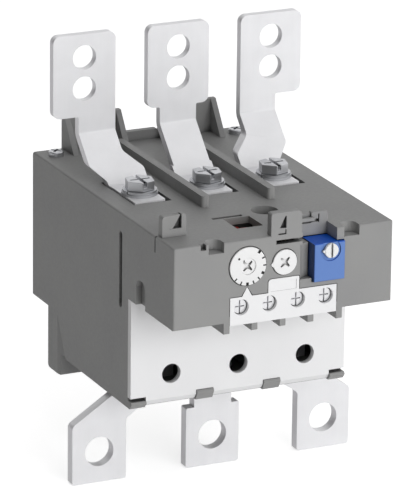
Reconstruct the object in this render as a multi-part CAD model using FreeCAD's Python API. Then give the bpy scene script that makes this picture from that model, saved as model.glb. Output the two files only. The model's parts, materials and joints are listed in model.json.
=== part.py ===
import FreeCAD, Part
import math
import os

# Thermal overload relay for a three-pole contactor, in millimetres.
# The origin is the centre of the middle input bar's upper hole, on the rear faces of the bars.
# +X is to the right seen from the front, +Y points back to the contactor and +Z is up.

# Poles
SIDES = {-1: "left", 0: "middle", 1: "right"}
CONTACTOR_PITCH = 35.0
OUTPUT_PITCH = 42.5

# Clearances
FIT_GAP = 0.1
RUN_GAP = 0.3
BEARING_GAP = 0.05
HOLE_GAP = 0.4

# Case
CASE_WIDTH = 80.0
POLE_PITCH = CASE_WIDTH / 3.2
CASE_TOP = -42.0
CASE_REAR = 30.4
SPLIT_Y = -51.4
REAR_BLOCK_HEIGHT = 52.4
REAR_BLOCK_DEPTH = 14.1
FOOT_DEPTH = 10.7
FOOT_REACH = 7.5
FOOT_RADIUS = 1.4
BODY_HEIGHT = 67.0
WALL = 2.4
TOP_WALL = 4.4
PARTITION = 2.4
EDGE_RADIUS = 0.6

# Top of the case
RIDGE_THICKNESS = 2.8
RIDGE_HEIGHT = 4.0
RIDGE_FRONT = -51.2
RIDGE_REAR = 20.0
RIDGE_INSET = 0.3
RIDGE_OFFSET = 0.6
SCREEN_INNER = 7.5
SCREEN_OUTER = POLE_PITCH + 4.0
SCREEN_WALL = 2.0
SCREEN_HEIGHT = 12.0
SCREEN_REACH = 10.9
SCREEN_TOP_DEPTH = 2.4
SCREEN_DIP = 1.3
LIP_HEIGHT = 3.4
TONGUE_SINK = 2.4
CASE_SCREW_INSET = 5.6
CASE_SCREW_Y = 22.6
CASE_SCREW_HEAD = 2.6
CASE_SCREW_SHAFT = 1.5
CASE_SCREW_LENGTH = 9.0

# Side details
SLOT_Y = -44.95
SLOT_WIDTH = 2.5
SLOT_TOP = -48.5
SLOT_BOTTOM = -75.2
SLOT_DEPTH = 1.4
SCOOP_Y = 8.6
SCOOP_WIDTH = 12.0
SCOOP_TOP = -95.0
SCOOP_DEPTH = 2.0
SCOOP_STEP = 0.8

# Nose
NOSE_DEPTH = 35.9
NOSE_HEIGHT = 28.3
NOSE_SIDE_WALL = 4.0
POCKET_WIDTH = 7.3
POCKET_REAR = -57.7
POCKET_TOP = -61.0
POCKET_DEPTH = 2.0
SEAM_Y = -72.4
SEAM_WIDTH = 0.7
SEAM_DEPTH = 0.9
SEAM_HEIGHT = 5.6

# Input bars
BAR_THICKNESS = 3.0
FLAG_WIDTH = 23.0
FLAG_TOP = 8.2
FLAG_BOTTOM = -20.8
FLAG_RADIUS = 2.5
NECK_WIDTH = 13.6
CRANK_OUTER = -35.8
CRANK_INNER = -32.5
BAR_HOLE = 4.25
BAR_HOLE_PITCH = 11.0
BAR_BEND_Z = -27.8
FOOT_PLATE_HALF = 7.4
TONGUE_FRONT = -38.8
TONGUE_LEFT = 7.2
TONGUE_RIGHT = 4.2
TONGUE_ROOM = 2.1
BAR_SCREW_Y = -29.4
BAR_SCREW_SHIFT = -1.15

# Bar screws
SCREW_SHAFT = 3.0
SCREW_HEAD_HALF = 4.55
SCREW_HEAD_HEIGHT = 3.3
SLOT_CUT = 1.5
LOCK_WASHER_R = 5.9
LOCK_WASHER_T = 0.9
FLAT_WASHER_R = 6.2
FLAT_WASHER_T = 0.8
NUT_SIZE = 11.0
NUT_THICKNESS = 5.0
LINK_NUT_REACH = 5.2
LINK_NUT_THICKNESS = 4.0

# Output bars
OUTPUT_FRONT = -33.9
OUTPUT_THICKNESS = 4.0
OUTPUT_WIDTH = 20.0
OUTPUT_DROP = 32.5
OUTPUT_HOLE_DROP = 21.5
OUTPUT_HOLE = 5.25
OUTPUT_RISE = 24.0
CRANK_DROP = 11.3
MIDDLE_NECK = 14.0
SHOULDER_DROP = 10.7
LINK_SCREW_RISE = 10.95
LINK_HEAD = 4.2
LINK_HEAD_HEIGHT = 4.0
LINK_SHAFT = 2.5

# White cover
COVER_THICKNESS = 2.4
COVER_RISE = 0.5
COVER_LIP = 1.8
COVER_HOLE = 3.44
HOOK_WIDTH = 6.2
HOOK_HEIGHT = 3.2
HOOK_REACH = 0.9
OUTER_HOOK = 0.65

# Heaters and bimetals
HEATER_THICKNESS = 1.2
HEATER_WIDTH = 8.0
HEATER_REAR = -19.0
HEATER_BEND = 1.5
BIMETAL_THICKNESS = 1.2
BIMETAL_FRONT = -49.0
BIMETAL_WIDTH = 6.0
BIMETAL_TOP = -57.0
BIMETAL_FOOT = 8.0

# Control terminal block
TERMINAL_PITCH = 10.3
TERMINAL_COUNT = 4
BLOCK_HALF = 19.5
BLOCK_TOP = -61.6
BLOCK_BOTTOM = -71.2
BLOCK_REAR = -71.6
LABEL_HALF = 5.65
LABEL_TOP = -56.9
POINTER_HALF = 1.8
POINTER_TOP = -58.4
TERMINAL_SCREW_Z = -65.2
TERMINAL_HOLE = 2.75
TERMINAL_HEAD = 2.5
TERMINAL_HEAD_DEPTH = 1.3
BLOCK_GAP = 0.25
LABEL_RECESS = 0.25
LABEL_EDGE = 0.9
TERMINAL_HEAD_HEIGHT = 2.4
TERMINAL_SHAFT = 1.6
CHAMBER_WIDTH = 6.4
BARRIER_WIDTH = 2.1
BARRIER_BOTTOM = -73.9
BARRIER_SET_BACK = 0.4
BARRIER_REAR = -62.0
CLAMP_THICKNESS = 1.0

# Dials
SETTING_X = -13.4
SETTING_Z = -51.1
SETTING_R = 6.6
SELECTOR_X = 0.1
SELECTOR_Z = -51.4
SELECTOR_R = 4.35
DIAL_PROUD = 0.6
DIAL_SUNK = 1.2
DIAL_GAP = 0.3
DISH_R = 2.9
DISH_DEPTH = 0.4
STEM_R = 1.5
STEM_BOSS_R = 3.2
STEM_BOSS_LENGTH = 7.3
CROSS_LENGTH = 4.4
CROSS_WIDTH = 1.4
CROSS_TIP = 0.5
CROSS_DEPTH = 1.0
TIP_ANGLE = 185.6
TIP_REACH = 5.15

# Reset button and its selector
BUTTON_X = 16.05
BUTTON_Z = -53.05
BUTTON_WIDTH = 11.3
BUTTON_HEIGHT = 13.1
BUTTON_PROUD = 1.5
BUTTON_DEPTH = 9.2
BUTTON_WALL = 1.6
BUTTON_TRAVEL = 3.0
BUTTON_STEM = 1.8
BUTTON_STEM_X = 16.2
BUTTON_STEM_Z = -54.5
BUTTON_STEM_END = -68.3
WELL_WALL = 1.2
CHANNEL_RIGHT = 19.3
CHANNEL_REAR = -79.5
SPRING_R = 2.55
SPRING_WIRE = 0.45
SPRING_TURNS = 7
SPRING_END = -72.3
KNOB_X = 16.4
KNOB_Z = -49.1
KNOB_R = 2.5
KNOB_PROUD = 0.9
KNOB_SUNK = 0.5
KNOB_STEM = 1.2
KNOB_CATCH = 1.7
KNOB_TIP = 3.4

# Trip mechanism
PLATE_FRONT = -64.0
PLATE_THICKNESS = 1.6
CARRIER_TRAVEL = 1.65
CARRIER_FRONT = -67.0
CARRIER_DEPTH = 2.6
CARRIER_TOP = -46.4
CARRIER_HEIGHT = 2.8
CARRIER_LEFT = -11.0
CARRIER_INSET = 13.0
LEG_LEFT = 10.2
LEG_WIDTH = 2.0
LEG_BOTTOM = -64.6
BLADE_THICKNESS = 0.5
RIVET_R = 0.8
RIVET_HEIGHT = 0.5
TIP_HEIGHT = 0.8
STRIP_THICKNESS = 0.8
RUN_WIDTH = 1.6
STRIP_PLATE = 4.8
TAB_REAR = -65.0
OPEN_CONTACT_Z = (-57.55, -60.5)
CLOSED_CONTACT_Z = (-59.75, -63.6)
STRIP_RISER_X = 8.0
LEVER_INSET = 7.5
LEVER_Z = -54.5
LEVER_ARM = 6.0
LEVER_FRONT = -67.4
LEVER_THICKNESS = 2.8
LEVER_TIP = 1.2
LEVER_TIP_Z = -47.8
PIN_R = 1.2
PIN_HEAD = 2.1
PIN_HEAD_HEIGHT = 0.5
SLIDE_FRONT = -57.4
SLIDE_DEPTH = 2.0
SLIDE_BOTTOM = -62.0
SLIDE_HEIGHT = 4.0
SLIDE_LEFT_INSET = 11.0
SLIDE_RIGHT_INSET = 9.5
FINGER_WIDTH = 1.5
FINGER_REAR = -45.5
GUIDE_X = 18.0
CAM_REST = 3.8
CAM_RISE = 2.0
CAM_TURN = 188.0
CAM_LEAD = 50.0
CAM_FRONT = -69.5
CAM_THICKNESS = 2.0
PAD_R = 1.5
ARM_PIVOT_X = -6.5
ARM_PIVOT_Z = -63.5
FLAG_LEFT = -9.5
FLAG_PLATE_WIDTH = 3.0
FLAG_PLATE_T = 1.2
FLAG_LIP_FRONT = -73.8
FLAG_LIP_TOP = -43.0

# Top of the nose
WINDOW_X = -6.95
WINDOW_Y = -70.1
WINDOW_WIDTH = 9.5
WINDOW_LENGTH = 10.9
SOCKET_X = 5.3
SOCKET_Y = -61.0
SOCKET_R = 4.6
SOCKET_DEPTH = 3.4
SOCKET_WALL = 1.0
SOCKET_FLOOR = 0.6
NOTCH_INSET = 15.25
NOTCH_WIDTH = 5.6
NOTCH_DEPTH = 3.5
NOTCH_REACH = 5.2
TAB_THICKNESS = 3.0
TAB_X = 0.7
TAB_WIDTH = 11.2
TAB_HEIGHT = 7.7
CLIP_INSET = 5.7
CLIP_WIDTH = 8.6
CLIP_FRONT = -75.0
CLIP_HEIGHT = 7.5
CLIP_POST = 2.6
CLIP_POST_RIGHT = 1.7
CLIP_FLOOR = 2.7
KEYHOLE_INSET = 9.6
KEYHOLE_WIDTH = 2.0
SEAL_X = 16.6
SEAL_WIDTH = 6.0
SEAL_HEIGHT = 3.6
ROOM_LEFT = 6.6
ROOM_FLOOR = -46.8
SCOOP_REACH = 4.3
FINGER_DEPTH = 3.0
STEP_LEFT = -15.0
STEP_RIGHT = -4.0
STEP_Y = -63.0

# Places worked out from the sizes above
HALF_WIDTH = CASE_WIDTH / 2
CLIP_X = -HALF_WIDTH + CLIP_INSET
CARRIER_RIGHT = HALF_WIDTH - CARRIER_INSET
LEVER_X = HALF_WIDTH - LEVER_INSET
SLIDE_LEFT = -HALF_WIDTH + SLIDE_LEFT_INSET
SLIDE_RIGHT = HALF_WIDTH - SLIDE_RIGHT_INSET
NOSE_FRONT = SPLIT_Y - NOSE_DEPTH
NOSE_BOTTOM = CASE_TOP - NOSE_HEIGHT
REAR_BOTTOM = CASE_TOP - REAR_BLOCK_HEIGHT
BODY_BOTTOM = CASE_TOP - BODY_HEIGHT
FOOT_BOTTOM = BODY_BOTTOM - FOOT_REACH
FOOT_REAR = CASE_REAR - REAR_BLOCK_DEPTH
FOOT_FRONT = FOOT_REAR - FOOT_DEPTH
CAVITY_TOP = CASE_TOP - TOP_WALL
NOSE_FLOOR = NOSE_BOTTOM + WALL
NOSE_CEILING = CASE_TOP - WALL
TONGUE_BOTTOM = CASE_TOP - TONGUE_SINK
TONGUE_TOP = TONGUE_BOTTOM + BAR_THICKNESS
COVER_FRONT = SPLIT_Y - COVER_THICKNESS
COVER_TOP = NOSE_BOTTOM
COVER_BOTTOM = BODY_BOTTOM + COVER_RISE
LINK_SCREW_Z = BODY_BOTTOM + LINK_SCREW_RISE
OUTPUT_TOP = BODY_BOTTOM + OUTPUT_RISE
OUTPUT_BOTTOM = BODY_BOTTOM - OUTPUT_DROP
OUTPUT_HOLE_Z = BODY_BOTTOM - OUTPUT_HOLE_DROP
CRANK_HIGH = BODY_BOTTOM
CRANK_LOW = BODY_BOTTOM - CRANK_DROP
MIDDLE_SHOULDER = BODY_BOTTOM - SHOULDER_DROP
OUTPUT_REAR = OUTPUT_FRONT + OUTPUT_THICKNESS
HEATER_BOTTOM = CAVITY_TOP - HEATER_THICKNESS
BUTTON_FRONT = NOSE_FRONT - BUTTON_PROUD
BUTTON_REAR = BUTTON_FRONT + BUTTON_DEPTH
WELL_REAR = BUTTON_REAR + BUTTON_TRAVEL + RUN_GAP
DIAL_FRONT = NOSE_FRONT - DIAL_PROUD
PLATE_REAR = PLATE_FRONT + PLATE_THICKNESS
CARRIER_BOTTOM = CARRIER_TOP - CARRIER_HEIGHT
CARRIER_REAR = CARRIER_FRONT + CARRIER_DEPTH
TERMINALS = [(i - (TERMINAL_COUNT - 1) / 2) * TERMINAL_PITCH for i in range(TERMINAL_COUNT)]
STRIP_REAR = BLOCK_REAR + STRIP_THICKNESS
OPEN_BLADE = LEG_LEFT - BLADE_THICKNESS - RIVET_HEIGHT
OPEN_TIP = OPEN_BLADE - CARRIER_TRAVEL - RUN_GAP
OPEN_TAB = OPEN_TIP - TIP_HEIGHT
CLOSED_BLADE = LEG_LEFT + LEG_WIDTH + BLADE_THICKNESS + RIVET_HEIGHT
CLOSED_TIP = CLOSED_BLADE + RUN_GAP
CLOSED_TAB = CLOSED_TIP + TIP_HEIGHT
LEVER_REAR = LEVER_FRONT + LEVER_THICKNESS
CAM_REAR = CAM_FRONT + CAM_THICKNESS

vector = FreeCAD.Vector


def place(axis, along, u, v):
    """A point at a distance along one axis, with u and v on the other two in X, Y, Z order."""
    if axis == "X":
        return vector(along, u, v)
    if axis == "Y":
        return vector(u, along, v)
    return vector(u, v, along)


def direction(axis):
    """The unit vector of a named axis."""
    return {"X": vector(1, 0, 0), "Y": vector(0, 1, 0), "Z": vector(0, 0, 1)}[axis]


def rounded_wire(corners, axis, along):
    """Closed wire through (u, v, radius) corners, each rounded by a tangent arc."""
    count = len(corners)
    entries = []
    exits = []
    middles = []
    for index, (u, v, radius) in enumerate(corners):
        here = vector(u, v, 0)
        back = vector(*corners[index - 1][:2], 0) - here
        ahead = vector(*corners[(index + 1) % count][:2], 0) - here
        back.normalize()
        ahead.normalize()
        half = back.getAngle(ahead) / 2
        reach = radius / math.tan(half)
        bisector = back + ahead
        entries.append(here + back * reach)
        exits.append(here + ahead * reach)
        if radius > 0:
            bisector.normalize()
            middles.append(here + bisector * (radius / math.sin(half) - radius))
        else:
            middles.append(None)
    edges = []
    for index in range(count):
        if middles[index] is not None:
            arc = [place(axis, along, p.x, p.y) for p in (entries[index], middles[index], exits[index])]
            edges.append(Part.Arc(*arc).toShape())
        start = exits[index]
        end = entries[(index + 1) % count]
        if (end - start).Length > 1e-6:
            line = [place(axis, along, p.x, p.y) for p in (start, end)]
            edges.append(Part.LineSegment(*line).toShape())
    return Part.Wire(edges)


def prism(corners, axis, low, high):
    """Solid with a constant outline between two places on an axis."""
    full = [tuple(corner) + (0,) * (3 - len(corner)) for corner in corners]
    face = Part.Face(rounded_wire(full, axis, low))
    return face.extrude(direction(axis) * (high - low))


def rectangle(u_low, u_high, v_low, v_high, radius=0):
    """Corners of a rectangle with equal corner radii."""
    return [(u_low, v_low, radius), (u_high, v_low, radius), (u_high, v_high, radius), (u_low, v_high, radius)]


def block(x_low, x_high, y_low, y_high, z_low, z_high):
    """Plain box between two corners."""
    corner = vector(x_low, y_low, z_low)
    return Part.makeBox(x_high - x_low, y_high - y_low, z_high - z_low, corner)


def rod(axis, u, v, radius, low, high):
    """Cylinder along an axis, centred on (u, v)."""
    return Part.makeCylinder(radius, high - low, place(axis, low, u, v), direction(axis))


def tube(axis, u, v, outer, inner, low, high):
    """Ring or bush along an axis."""
    return rod(axis, u, v, outer, low, high).cut(rod(axis, u, v, inner, low, high))


def join(shapes):
    """One solid from shapes that meet."""
    whole = shapes[0].multiFuse(shapes[1:]) if len(shapes) > 1 else shapes[0]
    return whole.removeSplitter()


def mirror_x(shape):
    """The same shape on the other side of the middle plane."""
    return shape.mirror(vector(0, 0, 0), vector(1, 0, 0))


def round_edges(shape, radius, wanted):
    """Fillets on the straight edges that the test picks."""
    edges = [edge for edge in shape.Edges if wanted(edge.BoundBox)]
    return shape.makeFillet(radius, edges)


def strip(path, thickness, bend, axis, low, high):
    """Bent sheet strip: its middle line runs through (u, v) points in the plane across the axis."""
    left = []
    right = []
    last = len(path) - 1
    for index, (u, v) in enumerate(path):
        here = vector(u, v, 0)
        before = (here - vector(*path[index - 1], 0)) if index > 0 else None
        after = (vector(*path[index + 1], 0) - here) if index < last else None
        before = before or after
        after = after or before
        before.normalize()
        after.normalize()
        turn = before.x * after.y - before.y * after.x
        normal = vector(-before.y - after.y, before.x + after.x, 0)
        normal.normalize()
        miter = thickness / 2 / math.cos(before.getAngle(after) / 2)
        bent = abs(turn) > 1e-6
        inner = bend if bent else 0
        outer = bend + thickness if bent else 0
        side_left = here + normal * miter
        side_right = here - normal * miter
        left.append((side_left.x, side_left.y, inner if turn > 0 else outer))
        right.append((side_right.x, side_right.y, outer if turn > 0 else inner))
    return prism(left + right[::-1], axis, low, high)


def cross_slot(axis, u, v, start, depth, length, width):
    """Two crossed cutters for a cross recess, turned by half a right angle."""
    arms = []
    for angle in (45, 135):
        arm = prism(rectangle(-length / 2, length / 2, -width / 2, width / 2, width * 0.45), "Z", 0, depth)
        arm.rotate(vector(0, 0, 0), vector(0, 0, 1), angle)
        arms.append(arm)
    cutter = arms[0].fuse(arms[1])
    if axis == "Y":
        cutter.rotate(vector(0, 0, 0), vector(1, 0, 0), -90)
    else:
        cutter.translate(vector(0, 0, -depth))
    cutter.translate(place(axis, start, u, v))
    return cutter


def bay_limits(pole):
    """Inner X limits of one pole's bay in the rear housing."""
    half_partition = PARTITION / 2
    low = -HALF_WIDTH + WALL if pole == -1 else (pole - 0.5) * POLE_PITCH + half_partition
    high = HALF_WIDTH - WALL if pole == 1 else (pole + 0.5) * POLE_PITCH - half_partition
    return low, high


def screw_x(pole):
    """X of one pole's screw in the input bar's tongue."""
    return pole * POLE_PITCH + BAR_SCREW_SHIFT


def screen():
    """Upright rear screen between a bar and the case's rear edge, open towards the front."""
    profile = [
        (CASE_REAR, CASE_TOP - 1),
        (CASE_REAR, CASE_TOP + SCREEN_HEIGHT, 0.5),
        (CASE_REAR - SCREEN_TOP_DEPTH, CASE_TOP + SCREEN_HEIGHT, 0.5),
        (CASE_REAR - SCREEN_REACH, CASE_TOP),
        (CASE_REAR - SCREEN_REACH, CASE_TOP - 1)]
    walls = prism(profile, "X", SCREEN_INNER, SCREEN_OUTER)
    hollow = block(SCREEN_INNER + SCREEN_WALL, SCREEN_OUTER - SCREEN_WALL,
                   CASE_REAR - SCREEN_REACH - 1, CASE_REAR - WALL,
                   CASE_TOP, CASE_TOP + SCREEN_HEIGHT + 1)
    top = CASE_TOP + SCREEN_HEIGHT
    dip = [(SCREEN_INNER + SCREEN_WALL + 0.8, top + 1), (SCREEN_INNER + SCREEN_WALL + 2, top - SCREEN_DIP, 1.5),
           (SCREEN_OUTER - SCREEN_WALL - 2, top - SCREEN_DIP, 1.5), (SCREEN_OUTER - SCREEN_WALL - 0.8, top + 1)]
    return walls.cut([hollow, prism(dip, "Y", CASE_REAR - SCREEN_REACH, CASE_REAR + 1)])


def tongue_pocket(pole):
    """Shallow pocket in the top wall that the tongue of an input bar lies in."""
    middle = pole * POLE_PITCH
    floor = TONGUE_BOTTOM
    step = bar_slope_y(TONGUE_TOP) - 2
    rear = step + 2 + BAR_THICKNESS * math.sqrt(2) + RUN_GAP
    narrow = block(middle - TONGUE_LEFT - RUN_GAP, middle + TONGUE_RIGHT + TONGUE_ROOM,
                   TONGUE_FRONT - RUN_GAP, step + 1, floor, CASE_TOP + 1)
    wide = block(middle - FOOT_PLATE_HALF - RUN_GAP, middle + FOOT_PLATE_HALF + RUN_GAP,
                 step - 2 - RUN_GAP, rear, floor, CASE_TOP + 1)
    return narrow.fuse(wide)


def bar_slope_y(z):
    """Y of the upper face of an input bar's 45 degree slope at a height."""
    return -BAR_THICKNESS + (z - BAR_BEND_Z)


def side_scoop():
    """Tapered hollow that runs down the side of the foot and opens at its lower edge."""
    x = -HALF_WIDTH - 0.1
    top = Part.makePolygon([vector(x, SCOOP_Y, SCOOP_TOP), vector(x + 0.15, SCOOP_Y - 0.25, SCOOP_TOP),
                            vector(x, SCOOP_Y - 0.3, SCOOP_TOP), vector(x, SCOOP_Y, SCOOP_TOP)])
    low = FOOT_BOTTOM - 1
    front = SCOOP_Y - SCOOP_WIDTH
    bottom = Part.makePolygon([vector(x, SCOOP_Y, low), vector(x + SCOOP_DEPTH, front + SCOOP_STEP, low),
                               vector(x, front, low), vector(x, SCOOP_Y, low)])
    return Part.makeLoft([top, bottom], True, True)


def snap_hook(middle):
    """Wedge on the lower front edge that a notch of the white cover snaps over."""
    low = max(middle - HOOK_WIDTH / 2, -HALF_WIDTH)
    high = min(middle + HOOK_WIDTH / 2, HALF_WIDTH)
    top = COVER_BOTTOM + HOOK_HEIGHT * (1 if abs(middle) < POLE_PITCH else OUTER_HOOK)
    profile = [
        (SPLIT_Y + 0.5, BODY_BOTTOM),
        (COVER_FRONT + 0.6, BODY_BOTTOM, 0.3),
        (COVER_FRONT - HOOK_REACH, top - 0.8, 0.3),
        (COVER_FRONT - 0.4, top, 0.2),
        (SPLIT_Y + 0.5, top)]
    return prism(profile, "X", low, high)


def hook_places():
    """X of the four snap hooks, on the lines between and beside the poles."""
    return [(step - 1.5) * POLE_PITCH for step in range(4)]


def make_rear_housing():
    outline = [
        (SPLIT_Y, CASE_TOP),
        (CASE_REAR, CASE_TOP, 1.2),
        (CASE_REAR, REAR_BOTTOM, EDGE_RADIUS),
        (FOOT_REAR, REAR_BOTTOM),
        (FOOT_REAR, FOOT_BOTTOM, FOOT_RADIUS),
        (FOOT_FRONT, FOOT_BOTTOM, EDGE_RADIUS),
        (FOOT_FRONT, BODY_BOTTOM),
        (SPLIT_Y, BODY_BOTTOM)]
    case = prism(outline, "X", -HALF_WIDTH, HALF_WIDTH)
    case = round_edges(case, EDGE_RADIUS, lambda box: box.XLength < 0.01 and box.ZLength < 0.01
                       and abs(box.ZMin - CASE_TOP) < 0.01 and box.YLength > 20)
    additions = [case]
    for side in (-1, 1):
        ridge_x = side * (POLE_PITCH / 2 - RIDGE_INSET) + RIDGE_OFFSET
        half = RIDGE_THICKNESS / 2
        base = rectangle(ridge_x - half, ridge_x + half, RIDGE_FRONT, RIDGE_REAR, half * 0.8)
        additions.append(prism(base, "Z", CASE_TOP - 1, CASE_TOP + RIDGE_HEIGHT))
    additions += [screen(), mirror_x(screen())]
    lip = [(-SCREEN_INNER - 0.5, CASE_TOP - 2), (SCREEN_INNER + 0.5, CASE_TOP - 2),
           (SCREEN_INNER + 0.5, CASE_TOP), (SCREEN_INNER - 0.6, CASE_TOP + LIP_HEIGHT, 1.5),
           (-SCREEN_INNER - 0.5, CASE_TOP + LIP_HEIGHT)]
    additions.append(prism(lip, "Y", CASE_REAR - WALL, CASE_REAR))
    additions += [snap_hook(middle) for middle in hook_places()]
    case = join(additions)

    removals = []
    bay = [
        (SPLIT_Y, CAVITY_TOP),
        (CASE_REAR - WALL, CAVITY_TOP, 1),
        (CASE_REAR - WALL, REAR_BOTTOM + WALL, 1),
        (FOOT_REAR - WALL, REAR_BOTTOM + WALL),
        (FOOT_REAR - WALL, BODY_BOTTOM + WALL, 1),
        (SPLIT_Y, BODY_BOTTOM + WALL)]
    for pole in SIDES:
        removals.append(prism(bay, "X", *bay_limits(pole)))
        removals.append(tongue_pocket(pole))
        removals.append(rod("Z", screw_x(pole), BAR_SCREW_Y, SCREW_SHAFT + HOLE_GAP, CAVITY_TOP - 1, CASE_TOP + 1))
        removals.append(output_slot(pole))
        foot_low = pole * POLE_PITCH - POLE_PITCH / 2 + 1.2
        foot_pocket = rectangle(foot_low, foot_low + POLE_PITCH - 2.4, FOOT_FRONT + WALL, FOOT_REAR - WALL, 1)
        removals.append(prism(foot_pocket, "Z", FOOT_BOTTOM - 1, BODY_BOTTOM - 0.5))
    slot = rectangle(SLOT_Y - SLOT_WIDTH / 2, SLOT_Y + SLOT_WIDTH / 2, SLOT_BOTTOM, SLOT_TOP, SLOT_WIDTH * 0.45)
    left_slot = prism(slot, "X", -HALF_WIDTH - 1, -HALF_WIDTH + SLOT_DEPTH)
    removals += [left_slot, mirror_x(left_slot)]
    removals += [side_scoop(), mirror_x(side_scoop())]
    case = case.cut(removals)

    bosses = []
    holes = []
    for side in (-1, 1):
        x = side * (HALF_WIDTH - CASE_SCREW_INSET)
        bottom = CASE_TOP - CASE_SCREW_LENGTH - 1.5
        boss = rod("Z", x, CASE_SCREW_Y, CASE_SCREW_SHAFT + 2, bottom, CAVITY_TOP + 0.5)
        bosses.append(boss.common(block(-HALF_WIDTH + 1, HALF_WIDTH - 1, -90, 90, -200, 0)))
        holes.append(rod("Z", x, CASE_SCREW_Y, CASE_SCREW_SHAFT + BEARING_GAP, bottom + 0.8, CASE_TOP + 1))
    return join([case] + bosses).cut(holes)


def output_slot(pole):
    """Slot in the bottom wall that an output bar passes through."""
    low, high = output_neck(pole)
    return block(low - HOLE_GAP, high + HOLE_GAP, OUTPUT_FRONT - HOLE_GAP, OUTPUT_REAR + HOLE_GAP,
                 BODY_BOTTOM - 1, BODY_BOTTOM + WALL + 1)


def output_neck(pole):
    """X limits of an output bar inside the case."""
    middle = pole * POLE_PITCH
    half = MIDDLE_NECK / 2 if pole == 0 else OUTPUT_WIDTH / 2
    return middle - half, middle + half


def make_output_bar(pole):
    half = OUTPUT_WIDTH / 2
    if pole == 0:
        neck = MIDDLE_NECK / 2
        corners = [
            (-half, OUTPUT_BOTTOM, 0.8), (half, OUTPUT_BOTTOM, 0.8), (half, MIDDLE_SHOULDER, 0.5),
            (neck, MIDDLE_SHOULDER), (neck, OUTPUT_TOP, 1), (-neck, OUTPUT_TOP, 1),
            (-neck, MIDDLE_SHOULDER), (-half, MIDDLE_SHOULDER, 0.5)]
    else:
        low = -OUTPUT_PITCH - half
        high = -OUTPUT_PITCH + half
        neck_low, neck_high = output_neck(-1)
        corners = [
            (low, OUTPUT_BOTTOM, 0.8), (high, OUTPUT_BOTTOM, 0.8), (high, CRANK_LOW + 0.5, 2),
            (neck_high, CRANK_HIGH + 0.8, 2), (neck_high, OUTPUT_TOP, 1), (neck_low, OUTPUT_TOP, 1),
            (neck_low, CRANK_HIGH, 2), (low, CRANK_LOW, 2)]
    bar = prism(corners, "Y", OUTPUT_FRONT, OUTPUT_REAR)
    hole_x = 0 if pole == 0 else -OUTPUT_PITCH
    link_x = 0 if pole == 0 else -POLE_PITCH
    bar = bar.cut([
        rod("Y", hole_x, OUTPUT_HOLE_Z, OUTPUT_HOLE, OUTPUT_FRONT - 1, OUTPUT_REAR + 1),
        rod("Y", link_x, LINK_SCREW_Z, LINK_SHAFT + FIT_GAP, OUTPUT_FRONT - 1, OUTPUT_REAR + 1)])
    return mirror_x(bar) if pole == 1 else bar


def make_input_bar(pole):
    """Flat bar: a flag with two holes, a neck, a 45 degree slope with a sideways crank and a tongue."""
    middle = pole * CONTACTOR_PITCH
    foot = pole * POLE_PITCH
    line = -BAR_THICKNESS / 2
    tongue_line = TONGUE_TOP - BAR_THICKNESS / 2
    bend = BAR_BEND_Z + BAR_THICKNESS * 0.2
    path = [(line, FLAG_TOP), (line, bend), (line + tongue_line - bend, tongue_line), (TONGUE_FRONT, tongue_line)]
    sheet = strip(path, BAR_THICKNESS, 1.0, "X", middle - FLAG_WIDTH * 2, middle + FLAG_WIDTH * 2)
    slope_end = bar_slope_y(TONGUE_TOP)
    upright = prism(bar_outline(pole), "Y", slope_end - 1, 1)
    tongue = prism([
        (foot - FOOT_PLATE_HALF, slope_end + 3), (foot - FOOT_PLATE_HALF, slope_end - 2, 1),
        (foot - TONGUE_LEFT, slope_end - 4, 1), (foot - TONGUE_LEFT, TONGUE_FRONT, 0.6),
        (foot + TONGUE_RIGHT, TONGUE_FRONT, 0.6), (foot + TONGUE_RIGHT, slope_end - 4, 1),
        (foot + FOOT_PLATE_HALF, slope_end - 2, 1), (foot + FOOT_PLATE_HALF, slope_end + 3)],
        "Z", TONGUE_BOTTOM - 3, TONGUE_TOP + 3)
    bar = sheet.common(upright.fuse(tongue))
    return bar.cut([
        rod("Y", middle, 0, BAR_HOLE, -10, 10),
        rod("Y", middle, -BAR_HOLE_PITCH, BAR_HOLE, -10, 10),
        rod("Z", screw_x(pole), BAR_SCREW_Y, SCREW_SHAFT + HOLE_GAP, TONGUE_BOTTOM - 5, TONGUE_TOP + 1)])


def bar_outline(pole):
    """Front outline of an input bar's flag, neck and slope, for one pole."""
    low = TONGUE_BOTTOM - 2
    half = FLAG_WIDTH / 2
    foot = FOOT_PLATE_HALF
    if pole == 0:
        neck = NECK_WIDTH / 2
        return [
            (-half, FLAG_TOP, FLAG_RADIUS), (-half, FLAG_BOTTOM, FLAG_RADIUS), (-neck, FLAG_BOTTOM, 0.6),
            (-neck, CRANK_OUTER - 3, 1), (-foot, CRANK_OUTER - 4.5, 1), (-foot, low), (foot, low),
            (foot, CRANK_OUTER - 4.5, 1), (neck, CRANK_OUTER - 3, 1), (neck, FLAG_BOTTOM, 0.6),
            (half, FLAG_BOTTOM, FLAG_RADIUS), (half, FLAG_TOP, FLAG_RADIUS)]
    outer = CONTACTOR_PITCH + half
    inner = CONTACTOR_PITCH - half
    outline = [
        (outer, FLAG_TOP, FLAG_RADIUS), (outer, FLAG_BOTTOM, FLAG_RADIUS),
        (inner + NECK_WIDTH, FLAG_BOTTOM, 0.6), (inner + NECK_WIDTH, CRANK_OUTER, 2),
        (POLE_PITCH + foot, CRANK_OUTER - 4.6, 1.5), (POLE_PITCH + foot, low), (POLE_PITCH - foot, low),
        (POLE_PITCH - foot, CRANK_INNER - 5.0, 1.5), (inner, CRANK_INNER, 2), (inner, FLAG_TOP, FLAG_RADIUS)]
    return [(pole * u, v, *radius) for u, v, *radius in outline]


def make_flat_washer(pole):
    return tube("Z", screw_x(pole), BAR_SCREW_Y, FLAT_WASHER_R, SCREW_SHAFT + FIT_GAP,
                TONGUE_TOP, TONGUE_TOP + FLAT_WASHER_T)


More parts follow.
